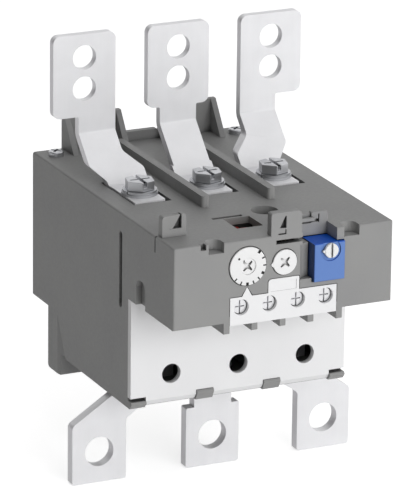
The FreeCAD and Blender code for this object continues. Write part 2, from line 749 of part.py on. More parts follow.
def make_lock_washer(pole):
    """Split ring with a slanted gap."""
    low = TONGUE_TOP + FLAT_WASHER_T
    ring = tube("Z", screw_x(pole), BAR_SCREW_Y, LOCK_WASHER_R, SCREW_SHAFT + FIT_GAP, low, low + LOCK_WASHER_T)
    gap = block(SCREW_SHAFT, LOCK_WASHER_R + 1, -0.3, 0.3, -2, 2)
    gap.rotate(vector(0, 0, 0), vector(1, 0, 0), 25)
    gap.rotate(vector(0, 0, 0), vector(0, 0, 1), 200)
    gap.translate(vector(screw_x(pole), BAR_SCREW_Y, low + LOCK_WASHER_T / 2))
    return ring.cut(gap)


def make_bar_screw(pole):
    """Hexagon head screw with a driver slot and a cross recess."""
    x = screw_x(pole)
    seat = TONGUE_TOP + FLAT_WASHER_T + LOCK_WASHER_T
    top = seat + SCREW_HEAD_HEIGHT
    reach = SCREW_HEAD_HALF / math.cos(math.pi / 6)
    corners = [(x + reach * math.cos(math.radians(60 * k + 12)),
                BAR_SCREW_Y + reach * math.sin(math.radians(60 * k + 12))) for k in range(6)]
    head = prism(corners, "Z", seat, top)
    crown = Part.makeCone(reach + 2.6, reach - 0.9, SCREW_HEAD_HEIGHT, vector(x, BAR_SCREW_Y, seat))
    head = head.common(crown)
    slot = block(x - reach - 1, x + reach + 1, BAR_SCREW_Y - SLOT_CUT / 2, BAR_SCREW_Y + SLOT_CUT / 2,
                 top - 1.7, top + 1)
    slot.rotate(vector(x, BAR_SCREW_Y, 0), vector(0, 0, 1), 38)
    cross = cross_slot("Z", x, BAR_SCREW_Y, top + 0.01, 2.4, 5.2, 1.5)
    shaft = rod("Z", x, BAR_SCREW_Y, SCREW_SHAFT, HEATER_BOTTOM - NUT_THICKNESS - 1, seat + 0.5)
    return join([head.cut([slot, cross]), shaft])


def make_terminal_nut(pole):
    x = screw_x(pole)
    half = NUT_SIZE / 2
    plate = prism(rectangle(x - half, x + half, BAR_SCREW_Y - half, BAR_SCREW_Y + half, 1.2), "Z",
                  HEATER_BOTTOM - NUT_THICKNESS, HEATER_BOTTOM)
    return plate.cut(rod("Z", x, BAR_SCREW_Y, SCREW_SHAFT, HEATER_BOTTOM - NUT_THICKNESS - 1, HEATER_BOTTOM + 1))


def make_heater(pole):
    """Current strip from under the input screw, down behind the bimetal, to the output bar."""
    middle = pole * POLE_PITCH
    half = HEATER_WIDTH / 2
    upper = CAVITY_TOP - HEATER_THICKNESS / 2
    lower = OUTPUT_REAR + HEATER_THICKNESS / 2
    path = [(BAR_SCREW_Y - 6.5, upper), (HEATER_REAR, upper), (HEATER_REAR, OUTPUT_TOP + 5),
            (lower, OUTPUT_TOP + 1), (lower, LINK_SCREW_Z - 5)]
    heater = strip(path, HEATER_THICKNESS, HEATER_BEND, "X", middle - half, middle + half)
    return heater.cut([
        rod("Z", screw_x(pole), BAR_SCREW_Y, SCREW_SHAFT + FIT_GAP, upper - 3, upper + 3),
        rod("Y", middle, LINK_SCREW_Z, LINK_SHAFT + FIT_GAP, lower - 3, lower + 3)])


def make_link_screw(pole):
    middle = pole * POLE_PITCH
    front = OUTPUT_FRONT - LINK_HEAD_HEIGHT
    head = rod("Y", middle, LINK_SCREW_Z, LINK_HEAD, front, OUTPUT_FRONT)
    head = head.cut(cross_slot("Y", middle, LINK_SCREW_Z, front - 0.01, 1.8, 5.4, 1.3))
    rear = OUTPUT_REAR + HEATER_THICKNESS + LINK_NUT_THICKNESS + 0.8
    return join([head, rod("Y", middle, LINK_SCREW_Z, LINK_SHAFT, OUTPUT_FRONT - 0.5, rear)])


def make_link_nut(pole):
    middle = pole * POLE_PITCH
    low = OUTPUT_REAR + HEATER_THICKNESS
    reach = LINK_NUT_REACH
    corners = [(middle + reach * math.cos(math.radians(60 * k)),
                LINK_SCREW_Z + reach * math.sin(math.radians(60 * k))) for k in range(6)]
    nut = prism(corners, "Y", low, low + LINK_NUT_THICKNESS)
    return nut.cut(rod("Y", middle, LINK_SCREW_Z, LINK_SHAFT, low - 1, low + LINK_NUT_THICKNESS + 1))


def make_bimetal(pole):
    """Upright strip on a bent foot that is welded to the output bar."""
    middle = pole * POLE_PITCH
    half = BIMETAL_THICKNESS / 2
    foot_low = OUTPUT_TOP - BIMETAL_FOOT
    foot_top = OUTPUT_TOP - 1
    foot = block(middle - BIMETAL_FOOT / 2, middle + BIMETAL_FOOT / 2,
                 OUTPUT_FRONT - BIMETAL_THICKNESS, OUTPUT_FRONT, foot_low, foot_top)
    front = BIMETAL_FRONT
    blade = prism([
        (OUTPUT_FRONT - 0.5, foot_low + 1), (front, foot_low + 1, 2), (front, BIMETAL_TOP, 0.8),
        (front + BIMETAL_WIDTH, BIMETAL_TOP, 0.8), (front + BIMETAL_WIDTH, foot_top, 2),
        (OUTPUT_FRONT - 0.5, foot_top)], "X", middle - half, middle + half)
    return join([foot, blade])


def make_terminal_cover():
    profile = [
        (SPLIT_Y, COVER_TOP), (COVER_FRONT, COVER_TOP, 0.4),
        (COVER_FRONT, COVER_BOTTOM + COVER_LIP, 0.4), (COVER_FRONT + 1.3, COVER_BOTTOM, 0.4),
        (SPLIT_Y, COVER_BOTTOM)]
    plate = prism(profile, "X", -HALF_WIDTH, HALF_WIDTH)
    removals = [rod("Y", pole * POLE_PITCH, LINK_SCREW_Z, COVER_HOLE, COVER_FRONT - 1, SPLIT_Y + 1)
                for pole in SIDES]
    for middle in hook_places():
        half = HOOK_WIDTH / 2 + FIT_GAP
        removals.append(block(middle - half, middle + half, COVER_FRONT - 1, SPLIT_Y + 1,
                              COVER_BOTTOM - 1, COVER_BOTTOM + HOOK_HEIGHT + FIT_GAP))
    return plate.cut(removals)


def block_outline(gap):
    """Front outline of the control block with its pointer and label field, widened by a gap."""
    half = BLOCK_HALF + gap
    top = BLOCK_TOP + gap
    label = LABEL_HALF + gap
    point = POINTER_HALF + gap
    return [
        (-half, BLOCK_BOTTOM - gap), (half, BLOCK_BOTTOM - gap), (half, top, 0.4),
        (label, top), (label, LABEL_TOP + gap, 0.5), (-label, LABEL_TOP + gap, 1.2), (-label, top),
        (SETTING_X + point, top), (SETTING_X, POINTER_TOP + gap), (SETTING_X - point, top), (-half, top, 0.4)]


def make_control_block():
    """White insert with four wire chambers that open downwards and four screw holes."""
    face = prism(block_outline(0), "Y", NOSE_FRONT, NOSE_FRONT + WALL)
    body = block(-BLOCK_HALF, BLOCK_HALF, NOSE_FRONT, BLOCK_REAR, BLOCK_BOTTOM, BLOCK_TOP)
    whole = join([face, body])
    half = CHAMBER_WIDTH / 2
    seat = NOSE_FRONT + TERMINAL_HEAD_DEPTH
    label = LABEL_HALF - LABEL_EDGE
    removals = [prism(rectangle(-label, label, BLOCK_TOP + 0.3, LABEL_TOP - LABEL_EDGE, 0.3), "Y",
                      NOSE_FRONT - 1, NOSE_FRONT + LABEL_RECESS)]
    for x in TERMINALS:
        removals.append(rod("Y", x, TERMINAL_SCREW_Z, TERMINAL_HOLE, NOSE_FRONT - 1, seat + 3))
        removals.append(block(x - half, x + half, seat + TERMINAL_HEAD_HEIGHT, BLOCK_REAR + 1,
                              BLOCK_BOTTOM - 1, TERMINAL_SCREW_Z + half))
    return whole.cut(removals)


def make_terminal_screw(x):
    front = NOSE_FRONT + TERMINAL_HEAD_DEPTH
    head = rod("Y", x, TERMINAL_SCREW_Z, TERMINAL_HEAD, front, front + TERMINAL_HEAD_HEIGHT)
    rim = [edge for edge in head.Edges if abs(edge.BoundBox.YMax - front) < 0.01]
    head = head.makeFillet(0.5, rim)
    slot = block(x - TERMINAL_HEAD, x + TERMINAL_HEAD, front - 1, front + 0.9,
                 TERMINAL_SCREW_Z - 0.4, TERMINAL_SCREW_Z + 0.4)
    head = head.cut([slot, cross_slot("Y", x, TERMINAL_SCREW_Z, front - 0.01, 1.2, 3.4, 0.8)])
    return join([head, rod("Y", x, TERMINAL_SCREW_Z, TERMINAL_SHAFT, front + 1.5, STRIP_REAR)])


def make_clamp(x):
    """Pressure plate that the control terminal screw pulls onto the wire."""
    front = NOSE_FRONT + TERMINAL_HEAD_DEPTH + TERMINAL_HEAD_HEIGHT + RUN_GAP
    half = CHAMBER_WIDTH / 2 - RUN_GAP
    plate = prism(rectangle(x - half, x + half, TERMINAL_SCREW_Z - half, TERMINAL_SCREW_Z + half, 0.6), "Y",
                  front, front + CLAMP_THICKNESS)
    return plate.cut(rod("Y", x, TERMINAL_SCREW_Z, TERMINAL_SHAFT, front - 1, front + 3))


def strip_plate(x):
    """Part of a contact strip behind a wire chamber, threaded for its screw."""
    half = STRIP_PLATE / 2
    return block(x - half, x + half, BLOCK_REAR, STRIP_REAR, TERMINAL_SCREW_Z - half, TERMINAL_SCREW_Z + half)


def strip_run(x_from, x_to, z):
    """Level run of a contact strip."""
    return block(min(x_from, x_to), max(x_from, x_to), BLOCK_REAR, STRIP_REAR, z - RUN_WIDTH / 2, z + RUN_WIDTH / 2)


def strip_riser(x, z_from, z_to):
    """Upright run of a contact strip."""
    half = RUN_WIDTH / 2
    return block(x - half, x + half, BLOCK_REAR, STRIP_REAR, z_from - half, z_to + half)


def strip_tab(x_low, z):
    """End of a contact strip, bent back beside the carrier's leg."""
    return block(x_low, x_low + STRIP_THICKNESS, BLOCK_REAR, TAB_REAR, z - RUN_WIDTH / 2, z + RUN_WIDTH / 2)


def make_contact_strip(index):
    """The first two strips lead to the open contact, the last two to the closed one."""
    x = TERMINALS[index]
    half = RUN_WIDTH / 2
    if index < 2:
        z = OPEN_CONTACT_Z[index]
        tab = strip_tab(OPEN_TAB - STRIP_THICKNESS, z)
        runs = [strip_riser(x, TERMINAL_SCREW_Z, z), strip_run(x, OPEN_TAB, z)]
    elif index == 2:
        low, high = CLOSED_CONTACT_Z[1], CLOSED_CONTACT_Z[0]
        tab = strip_tab(CLOSED_TAB, high)
        runs = [strip_run(x, STRIP_RISER_X + half, low), strip_riser(STRIP_RISER_X, low, high),
                strip_run(STRIP_RISER_X, CLOSED_TAB + STRIP_THICKNESS, high)]
    else:
        tab = strip_tab(CLOSED_TAB, CLOSED_CONTACT_Z[1])
        runs = []
    strip_body = join([strip_plate(x), tab] + runs)
    return strip_body.cut(rod("Y", x, TERMINAL_SCREW_Z, TERMINAL_SHAFT, BLOCK_REAR - 1, STRIP_REAR))


def contact_y():
    """Y of the contacts' centres, in the middle of the carrier's leg."""
    return (CARRIER_FRONT + CARRIER_REAR) / 2


def make_fixed_contact(index):
    """Contact rivet on the tab of a contact strip."""
    if index < 2:
        return rod("X", contact_y(), OPEN_CONTACT_Z[index], RIVET_R * 0.9, OPEN_TAB, OPEN_TIP)
    return rod("X", contact_y(), CLOSED_CONTACT_Z[index - 2], RIVET_R * 0.9, CLOSED_TIP, CLOSED_TAB)


def make_moving_contact(places, leg_face, outward):
    """Bridge blade on one face of the carrier's leg, with a rivet for each fixed contact."""
    half = RUN_WIDTH / 2
    outer = leg_face + outward * BLADE_THICKNESS
    tip = outer + outward * RIVET_HEIGHT
    blade = block(min(leg_face, outer), max(leg_face, outer), CARRIER_FRONT + 0.2, CARRIER_REAR - 0.2,
                  min(places) - half, max(places) + half)
    rivets = [rod("X", contact_y(), z, RIVET_R, min(outer, tip), max(outer, tip)) for z in places]
    return join([blade] + rivets)


def make_moving_contacts():
    return Part.makeCompound([
        make_moving_contact(OPEN_CONTACT_Z, LEG_LEFT, -1),
        make_moving_contact(CLOSED_CONTACT_Z, LEG_LEFT + LEG_WIDTH, 1)])


def make_contact_carrier():
    """Sliding bar with a leg that carries the two bridge blades."""
    bar = prism(rectangle(CARRIER_LEFT, CARRIER_RIGHT, CARRIER_BOTTOM, CARRIER_TOP, 0.5), "Y",
                CARRIER_FRONT, CARRIER_REAR)
    leg = block(LEG_LEFT, LEG_LEFT + LEG_WIDTH, CARRIER_FRONT, CARRIER_REAR, LEG_BOTTOM, CARRIER_BOTTOM + 1)
    return join([bar, leg])


def make_trip_flag():
    """Red strip that lies on the carrier and turns up in front, below the window."""
    top = CARRIER_TOP + FLAG_PLATE_T
    flat = block(FLAG_LEFT, FLAG_LEFT + FLAG_PLATE_WIDTH, FLAG_LIP_FRONT, CARRIER_REAR - 0.2, CARRIER_TOP, top)
    lip = prism(rectangle(FLAG_LEFT, FLAG_LEFT + FLAG_PLATE_WIDTH, CARRIER_TOP, FLAG_LIP_TOP, 0.4), "Y",
                FLAG_LIP_FRONT, FLAG_LIP_FRONT + FLAG_PLATE_T)
    return join([flat, lip])


def make_trip_slide():
    """Driver bar with a finger beside each bimetal and one that reaches forward to the lever."""
    rear = SLIDE_FRONT + SLIDE_DEPTH
    top = SLIDE_BOTTOM + SLIDE_HEIGHT
    gap = BIMETAL_THICKNESS / 2 + RUN_GAP
    shapes = [prism(rectangle(SLIDE_LEFT, SLIDE_RIGHT, SLIDE_BOTTOM, top, 0.5), "Y", SLIDE_FRONT, rear)]
    for pole in SIDES:
        low = pole * POLE_PITCH + gap
        shapes.append(block(low, low + FINGER_WIDTH, rear - 1, FINGER_REAR, SLIDE_BOTTOM + 0.6, top - 0.6))
    shapes.append(block(SLIDE_RIGHT - FINGER_WIDTH, SLIDE_RIGHT, LEVER_FRONT - 0.2, SLIDE_FRONT + 1,
                        SLIDE_BOTTOM + 0.6, top - 0.6))
    return join(shapes)


def make_trip_lever():
    """Lever on a fore-and-aft pin: the slide pushes its lower end, its upper end pushes the carrier."""
    pad_x = SLIDE_RIGHT + RUN_GAP + LEVER_TIP
    pad_z = LEVER_Z - LEVER_ARM
    tip_x = CARRIER_RIGHT + RUN_GAP + LEVER_TIP
    boss = rod("Y", LEVER_X, LEVER_Z, 2.4, LEVER_FRONT, LEVER_REAR)
    pad = rod("Y", pad_x, pad_z, LEVER_TIP, LEVER_FRONT, LEVER_REAR)
    tip = rod("Y", tip_x, LEVER_TIP_Z, LEVER_TIP, LEVER_FRONT, LEVER_REAR)
    lower = prism([(pad_x - 0.2, pad_z - LEVER_TIP * 0.9), (pad_x + 1.1, pad_z), (LEVER_X + 1.6, LEVER_Z - 1.4),
                   (LEVER_X - 1.4, LEVER_Z - 1.6), (pad_x - 0.4, pad_z + 1)], "Y", LEVER_FRONT, LEVER_REAR)
    upper = prism([(LEVER_X - 1.9, LEVER_Z + 1.2), (LEVER_X + 1.6, LEVER_Z + 1.6),
                   (tip_x + 1.0, LEVER_TIP_Z + 0.6), (tip_x - 1.0, LEVER_TIP_Z - 0.6)], "Y",
                  LEVER_FRONT, LEVER_REAR)
    lever = join([boss, pad, tip, lower, upper])
    return lever.cut(rod("Y", LEVER_X, LEVER_Z, PIN_R + BEARING_GAP, LEVER_FRONT - 1, LEVER_REAR + 1))


def make_pin(x, z, lever_front, lever_rear):
    """Pivot pin with a spacer behind its lever and a head in front of it."""
    head_rear = lever_front - RUN_GAP
    return join([
        rod("Y", x, z, PIN_HEAD, lever_rear + RUN_GAP, PLATE_FRONT),
        rod("Y", x, z, PIN_R, head_rear - PIN_HEAD_HEIGHT, PLATE_REAR),
        rod("Y", x, z, PIN_HEAD, head_rear - PIN_HEAD_HEIGHT, head_rear)])


def make_trip_lever_pin():
    return make_pin(LEVER_X, LEVER_Z, LEVER_FRONT, LEVER_REAR)


def make_setting_lever_pin():
    return make_pin(ARM_PIVOT_X, ARM_PIVOT_Z, CAM_FRONT, CAM_REAR)


def cam_radius(angle):
    """Cam radius at an angle in degrees from the follower, falling steadily as the angle grows."""
    return CAM_REST - CAM_RISE * angle / CAM_TURN


def make_setting_cam():
    """Spiral cam on the dial's stem, so that equal turns give equal lift."""
    start = -CAM_LEAD
    end = CAM_TURN - CAM_LEAD + 12
    spiral = []
    for step in range(13):
        angle = start + (end - start) * step / 12
        radius = cam_radius(angle)
        spiral.append(place("Y", CAM_FRONT, SETTING_X + radius * math.cos(math.radians(angle)),
                            SETTING_Z + radius * math.sin(math.radians(angle))))
    curve = Part.BSplineCurve()
    curve.interpolate(spiral)
    back = math.radians((start + end) / 2 + 180)
    radius = CAM_REST * 0.86
    middle = place("Y", CAM_FRONT, SETTING_X + radius * math.cos(back), SETTING_Z + radius * math.sin(back))
    closing = Part.Arc(spiral[-1], middle, spiral[0]).toShape()
    face = Part.Face(Part.Wire([curve.toShape(), closing]))
    cam = face.extrude(vector(0, CAM_THICKNESS, 0))
    return cam.cut(rod("Y", SETTING_X, SETTING_Z, STEM_R, CAM_FRONT - 1, CAM_REAR + 1))


def make_setting_lever():
    """Follower that the spiral cam swings."""
    pad_x = SETTING_X + CAM_REST + RUN_GAP + PAD_R
    boss = rod("Y", ARM_PIVOT_X, ARM_PIVOT_Z, 2.6, CAM_FRONT, CAM_REAR)
    pad = rod("Y", pad_x, SETTING_Z, PAD_R, CAM_FRONT, CAM_REAR)
    arm = prism([
        (ARM_PIVOT_X - 1.8, ARM_PIVOT_Z + 1.2), (ARM_PIVOT_X + 1.8, ARM_PIVOT_Z + 1.2),
        (pad_x + 1.3, SETTING_Z), (pad_x - 1.2, SETTING_Z - 0.4)], "Y", CAM_FRONT, CAM_REAR)
    lever = join([boss, pad, arm])
    return lever.cut(rod("Y", ARM_PIVOT_X, ARM_PIVOT_Z, PIN_R + BEARING_GAP, CAM_FRONT - 1, CAM_REAR + 1))


def slide_guide(x):
    """C-shaped guide on the plate's rear that the trip slide runs in."""
    half = 1.5
    low = SLIDE_BOTTOM - RUN_GAP
    high = SLIDE_BOTTOM + SLIDE_HEIGHT + RUN_GAP
    rear = SLIDE_FRONT + SLIDE_DEPTH
    whole = block(x - half, x + half, PLATE_REAR - 0.5, rear, low - 1.3, high + 1.3)
    return whole.cut(block(x - 3, x + 3, SLIDE_FRONT - RUN_GAP, rear + 1, low, high))


def make_mechanism_plate():
    """Inner plate with stem bearings, pin holes, guides and a window for the slide's front finger."""
    half = HALF_WIDTH - NOSE_SIDE_WALL
    plate = block(-half, half, PLATE_FRONT, PLATE_REAR, NOSE_FLOOR, NOSE_CEILING)
    shelf_top = CARRIER_BOTTOM - RUN_GAP
    shapes = [plate, slide_guide(-GUIDE_X), slide_guide(GUIDE_X)]
    for x in (CARRIER_LEFT + 4.5, CARRIER_RIGHT - 5.5):
        shapes.append(block(x - 1.5, x + 1.5, CARRIER_FRONT, PLATE_FRONT + 0.5, shelf_top - 1.1, shelf_top))
    ring_front = BUTTON_STEM_END - RUN_GAP
    shapes.append(rod("Y", BUTTON_STEM_X, BUTTON_STEM_Z, STEM_BOSS_R, ring_front, PLATE_REAR))
    plate = join(shapes)
    finger_low = SLIDE_BOTTOM - 0.8
    finger_high = SLIDE_BOTTOM + SLIDE_HEIGHT + 0.8
    socket = SOCKET_R + SOCKET_WALL + RUN_GAP
    return plate.cut([
        rod("Y", BUTTON_STEM_X, BUTTON_STEM_Z, BUTTON_STEM + RUN_GAP, ring_front - 1, PLATE_FRONT),
        rod("Y", SETTING_X, SETTING_Z, STEM_R + BEARING_GAP, PLATE_FRONT - 1, PLATE_REAR + 1),
        rod("Y", SELECTOR_X, SELECTOR_Z, STEM_R + BEARING_GAP, PLATE_FRONT - 1, PLATE_REAR + 1),
        rod("Y", LEVER_X, LEVER_Z, PIN_R, PLATE_FRONT - 1, PLATE_REAR + 1),
        rod("Y", ARM_PIVOT_X, ARM_PIVOT_Z, PIN_R, PLATE_FRONT - 1, PLATE_REAR + 1),
        block(SOCKET_X - socket, SOCKET_X + socket, PLATE_FRONT - 1, PLATE_REAR + 1,
              CASE_TOP - SOCKET_DEPTH - SOCKET_FLOOR - 0.6, CASE_TOP),
        block(SLIDE_RIGHT - 5, SLIDE_RIGHT + 3, PLATE_FRONT - 1, PLATE_REAR + 1, finger_low, finger_high)])


def driver_cross(x, z, front):
    """Cutter for a cross recess whose arms narrow towards their ends."""
    half = CROSS_LENGTH / 2
    cutter = None
    for angle in (45, 135):
        arm = prism([(-half, -CROSS_TIP / 2), (0, -CROSS_WIDTH / 2), (half, -CROSS_TIP / 2),
                     (half, CROSS_TIP / 2), (0, CROSS_WIDTH / 2), (-half, CROSS_TIP / 2)], "Z", 0, CROSS_DEPTH + 1)
        arm.rotate(vector(0, 0, 0), vector(0, 0, 1), angle)
        cutter = arm if cutter is None else cutter.fuse(arm)
    cutter.rotate(vector(0, 0, 0), vector(1, 0, 0), -90)
    cutter.translate(place("Y", front - 1, x, z))
    return cutter


def make_dial(x, z, radius):
    """Disc with a rounded rim and the stem behind it."""
    rear = NOSE_FRONT + DIAL_SUNK
    disc = rod("Y", x, z, radius, DIAL_FRONT, rear)
    rim = [edge for edge in disc.Edges if abs(edge.BoundBox.YMax - DIAL_FRONT) < 0.01]
    disc = disc.makeFillet(0.2, rim)
    return [disc, rod("Y", x, z, STEM_R, rear - 0.1, PLATE_REAR + 0.4)]


def make_setting_dial():
    dish = rod("Y", SETTING_X, SETTING_Z, DISH_R, DIAL_FRONT - 1, DIAL_FRONT + DISH_DEPTH)
    cross = driver_cross(SETTING_X, SETTING_Z, DIAL_FRONT + DISH_DEPTH)
    return join(make_dial(SETTING_X, SETTING_Z, SETTING_R)).cut([dish, cross])


def make_selector_dial():
    """Small dial whose pointed tip passes in front of the case."""
    angle = math.radians(TIP_ANGLE)
    spread = math.radians(22)
    reach = SELECTOR_R - 0.2
    tip = prism([
        (SELECTOR_X + reach * math.cos(angle - spread), SELECTOR_Z + reach * math.sin(angle - spread)),
        (SELECTOR_X + TIP_REACH * math.cos(angle), SELECTOR_Z + TIP_REACH * math.sin(angle), 0.4),
        (SELECTOR_X + reach * math.cos(angle + spread), SELECTOR_Z + reach * math.sin(angle + spread)),
        (SELECTOR_X, SELECTOR_Z)], "Y", DIAL_FRONT + 0.1, NOSE_FRONT - FIT_GAP)
    dial = join(make_dial(SELECTOR_X, SELECTOR_Z, SELECTOR_R) + [tip])
    return dial.cut(driver_cross(SELECTOR_X, SELECTOR_Z, DIAL_FRONT))


def make_reset_button():
    """Hollow cap with rounded front edges and a stem for the spring."""
    x_low = BUTTON_X - BUTTON_WIDTH / 2
    x_high = BUTTON_X + BUTTON_WIDTH / 2
    z_low = BUTTON_Z - BUTTON_HEIGHT / 2
    z_high = BUTTON_Z + BUTTON_HEIGHT / 2
    cap = block(x_low, x_high, BUTTON_FRONT, BUTTON_REAR, z_low, z_high)
    cap = round_edges(cap, 0.4, lambda box: abs(box.YMax - BUTTON_FRONT) < 0.01)
    wall = BUTTON_WALL
    hollow = prism(rectangle(x_low + wall, x_high - wall, z_low + wall, z_high - wall, 0.8), "Y",
                   BUTTON_FRONT + wall, BUTTON_REAR + 1)
    stem = rod("Y", BUTTON_STEM_X, BUTTON_STEM_Z, BUTTON_STEM, BUTTON_FRONT + 1, BUTTON_STEM_END)
    button = join([cap.cut(hollow), stem])
    recess = rod("Y", KNOB_X, KNOB_Z, KNOB_TIP + RUN_GAP, BUTTON_FRONT - 1, BUTTON_FRONT + KNOB_SUNK)
    bore = rod("Y", KNOB_X, KNOB_Z, KNOB_STEM + BEARING_GAP, BUTTON_FRONT - 1, BUTTON_FRONT + wall + 1)
    catch_room = rod("Y", KNOB_X, KNOB_Z, KNOB_CATCH + RUN_GAP, BUTTON_FRONT + wall, BUTTON_FRONT + wall + 1.5)
    return button.cut([recess, bore, catch_room])


def make_mode_selector():
    """Small round knob with a pointed side and a driver slot, held by a catch behind the button's face."""
    front = BUTTON_FRONT - KNOB_PROUD
    rear = BUTTON_FRONT + KNOB_SUNK - RUN_GAP
    catch_front = BUTTON_FRONT + BUTTON_WALL + RUN_GAP
    body = rod("Y", KNOB_X, KNOB_Z, KNOB_R, front, rear)
    rim = [edge for edge in body.Edges if abs(edge.BoundBox.YMax - front) < 0.01]
    body = body.makeFillet(0.35, rim)
    tip = prism([
        (KNOB_X - 0.5, KNOB_Z + KNOB_R * 0.75), (KNOB_X - KNOB_TIP, KNOB_Z, 0.3),
        (KNOB_X - 0.5, KNOB_Z - KNOB_R * 0.75)], "Y", front + 0.3, rear)
    slot = block(KNOB_X - 0.4, KNOB_X + 0.4, front - 1, front + 0.8, KNOB_Z - KNOB_R - 1, KNOB_Z + KNOB_R + 1)
    stem = rod("Y", KNOB_X, KNOB_Z, KNOB_STEM, rear - 0.1, catch_front + 0.8)
    catch = rod("Y", KNOB_X, KNOB_Z, KNOB_CATCH, catch_front, catch_front + 0.8)
    return join([body, tip, stem, catch]).cut(slot)


def make_reset_spring():
    """Coil spring round the button's stem."""
    start = BUTTON_FRONT + BUTTON_WALL + SPRING_WIRE + 0.05
    length = SPRING_END - SPRING_WIRE - start
    helix = Part.makeHelix(length / SPRING_TURNS, length, SPRING_R)
    profile = Part.Wire(Part.makeCircle(SPRING_WIRE, vector(SPRING_R, 0, 0), vector(0, 1, 0)))
    coil = Part.Wire(helix).makePipeShell([profile], True, True)
    coil.rotate(vector(0, 0, 0), vector(1, 0, 0), -90)
    coil.translate(vector(BUTTON_STEM_X, start, BUTTON_STEM_Z))
    return coil


def nose_shell():
    """Outer block of the nose with rounded front edges, hollow and open at the back."""
    outer = block(-HALF_WIDTH, HALF_WIDTH, NOSE_FRONT, SPLIT_Y, NOSE_BOTTOM, CASE_TOP)
    outer = round_edges(outer, EDGE_RADIUS, lambda box: abs(box.YMax - NOSE_FRONT) < 0.01
                        or (box.YLength > 20 and abs(box.ZMin - CASE_TOP) < 0.01))
    half = HALF_WIDTH - NOSE_SIDE_WALL
    inner = block(-half, half, NOSE_FRONT + WALL, SPLIT_Y + 1, NOSE_FLOOR, NOSE_CEILING)
    return outer.cut(inner)


def nose_tab():
    """Upright front tab with a slit and a lever-shaped relief low in its face."""
    low = TAB_X - TAB_WIDTH / 2
    high = TAB_X + TAB_WIDTH / 2
    top = CASE_TOP + TAB_HEIGHT
    face = [(low, CASE_TOP - 1), (high, CASE_TOP - 1), (high, top, 1.4), (low, top, 0.8)]
    tab = prism(face, "Y", NOSE_FRONT, NOSE_FRONT + TAB_THICKNESS)
    slit = prism([
        (TAB_X - 2.5, CASE_TOP + 2.4), (TAB_X - 0.1, CASE_TOP + 2.2), (TAB_X - 0.1, top - 1.3),
        (TAB_X - 0.5, top - 1.3)], "Y", NOSE_FRONT - 1, NOSE_FRONT + 2)
    foot = block(low + 2.6, TAB_X - 0.1, NOSE_FRONT - 1, NOSE_FRONT + 0.8, CASE_TOP + 0.1, CASE_TOP + 0.6)
    heel = block(TAB_X - 0.5, TAB_X - 0.1, NOSE_FRONT - 1, NOSE_FRONT + 0.8, CASE_TOP + 0.1, CASE_TOP + 1.8)
    return tab.cut([slit, foot, heel])


def marker_clip():
    """Upright U-shaped holder near the left edge with a ramp across its opening."""
    low = CLIP_X - CLIP_WIDTH / 2
    high = CLIP_X + CLIP_WIDTH / 2
    top = CASE_TOP + CLIP_HEIGHT
    rear = CLIP_FRONT + TAB_THICKNESS
    face = [(low, CASE_TOP - 1), (high, CASE_TOP - 1), (high, top, 0.8), (low, top - 0.4, 1.0)]
    plate = prism(face, "Y", CLIP_FRONT, rear)
    left = low + CLIP_POST
    right = high - CLIP_POST_RIGHT
    floor = CASE_TOP + CLIP_FLOOR
    opening = block(left, right, CLIP_FRONT - 1, rear - 0.8, floor, top + 1)
    ramp = prism([(left - 0.2, floor - 0.2), (left + 1.1, floor - 0.2), (right - 0.4, top - 0.3),
                  (left - 0.2, top - 0.3)], "Y", CLIP_FRONT + 0.2, rear - 0.4)
    return join([plate.cut(opening), ramp])


def seal_tab():
    """Slotted tab behind the button channel, joined to the front tab by two ribs."""
    low = SEAL_X - SEAL_WIDTH / 2
    high = SEAL_X + SEAL_WIDTH / 2
    top = CASE_TOP + SEAL_HEIGHT
    tab = prism([(low, CASE_TOP - 1), (high, CASE_TOP - 1), (high, top, 0.4), (low, top, 0.4)], "Y",
                CHANNEL_REAR, CHANNEL_REAR + 2)
    slit = block(low + 2.5, low + 2.9, CHANNEL_REAR - 1, CHANNEL_REAR + 1.6, CASE_TOP - 0.6, CASE_TOP + 2.9)
    notch = block(low - 1, low + 2.6, CHANNEL_REAR - 1, CHANNEL_REAR + 3, CASE_TOP + 0.2, CASE_TOP + 1.3)
    ribs = [block(TAB_X + TAB_WIDTH / 2 - 2, low + 0.5, CHANNEL_REAR + start, CHANNEL_REAR + start + 1.2,
                  CASE_TOP - 1, CASE_TOP + height) for start, height in ((-1.4, 2.2), (0.9, 3.2))]
    ribs[0] = ribs[0].cut(block(ROOM_LEFT + 1, low + 1, CHANNEL_REAR - 2, CHANNEL_REAR, CASE_TOP - 2, CASE_TOP + 1.1))
    return join([tab.cut([slit, notch])] + ribs)


def keyhole():
    """Small square hole at the top front edge."""
    left = -HALF_WIDTH + KEYHOLE_INSET
    return block(left, left + KEYHOLE_WIDTH, NOSE_FRONT - 1, NOSE_FRONT + 2.2, CASE_TOP - 1.8, CASE_TOP + 1)


def button_room():
    """Cut in the top wall beside the button channel, so that the button's side is open to view."""
    left_edge = BUTTON_X - BUTTON_WIDTH / 2
    return block(ROOM_LEFT, left_edge, NOSE_FRONT - 1, CHANNEL_REAR, ROOM_FLOOR, CASE_TOP + 1)


def room_backing():
    """Walls and floor that close the cut beside the button channel to the inside."""
    left_edge = BUTTON_X - BUTTON_WIDTH / 2
    return block(ROOM_LEFT - 1.4, left_edge, NOSE_FRONT + 1, CHANNEL_REAR + 1.2, ROOM_FLOOR - 1.2, CASE_TOP - 1)


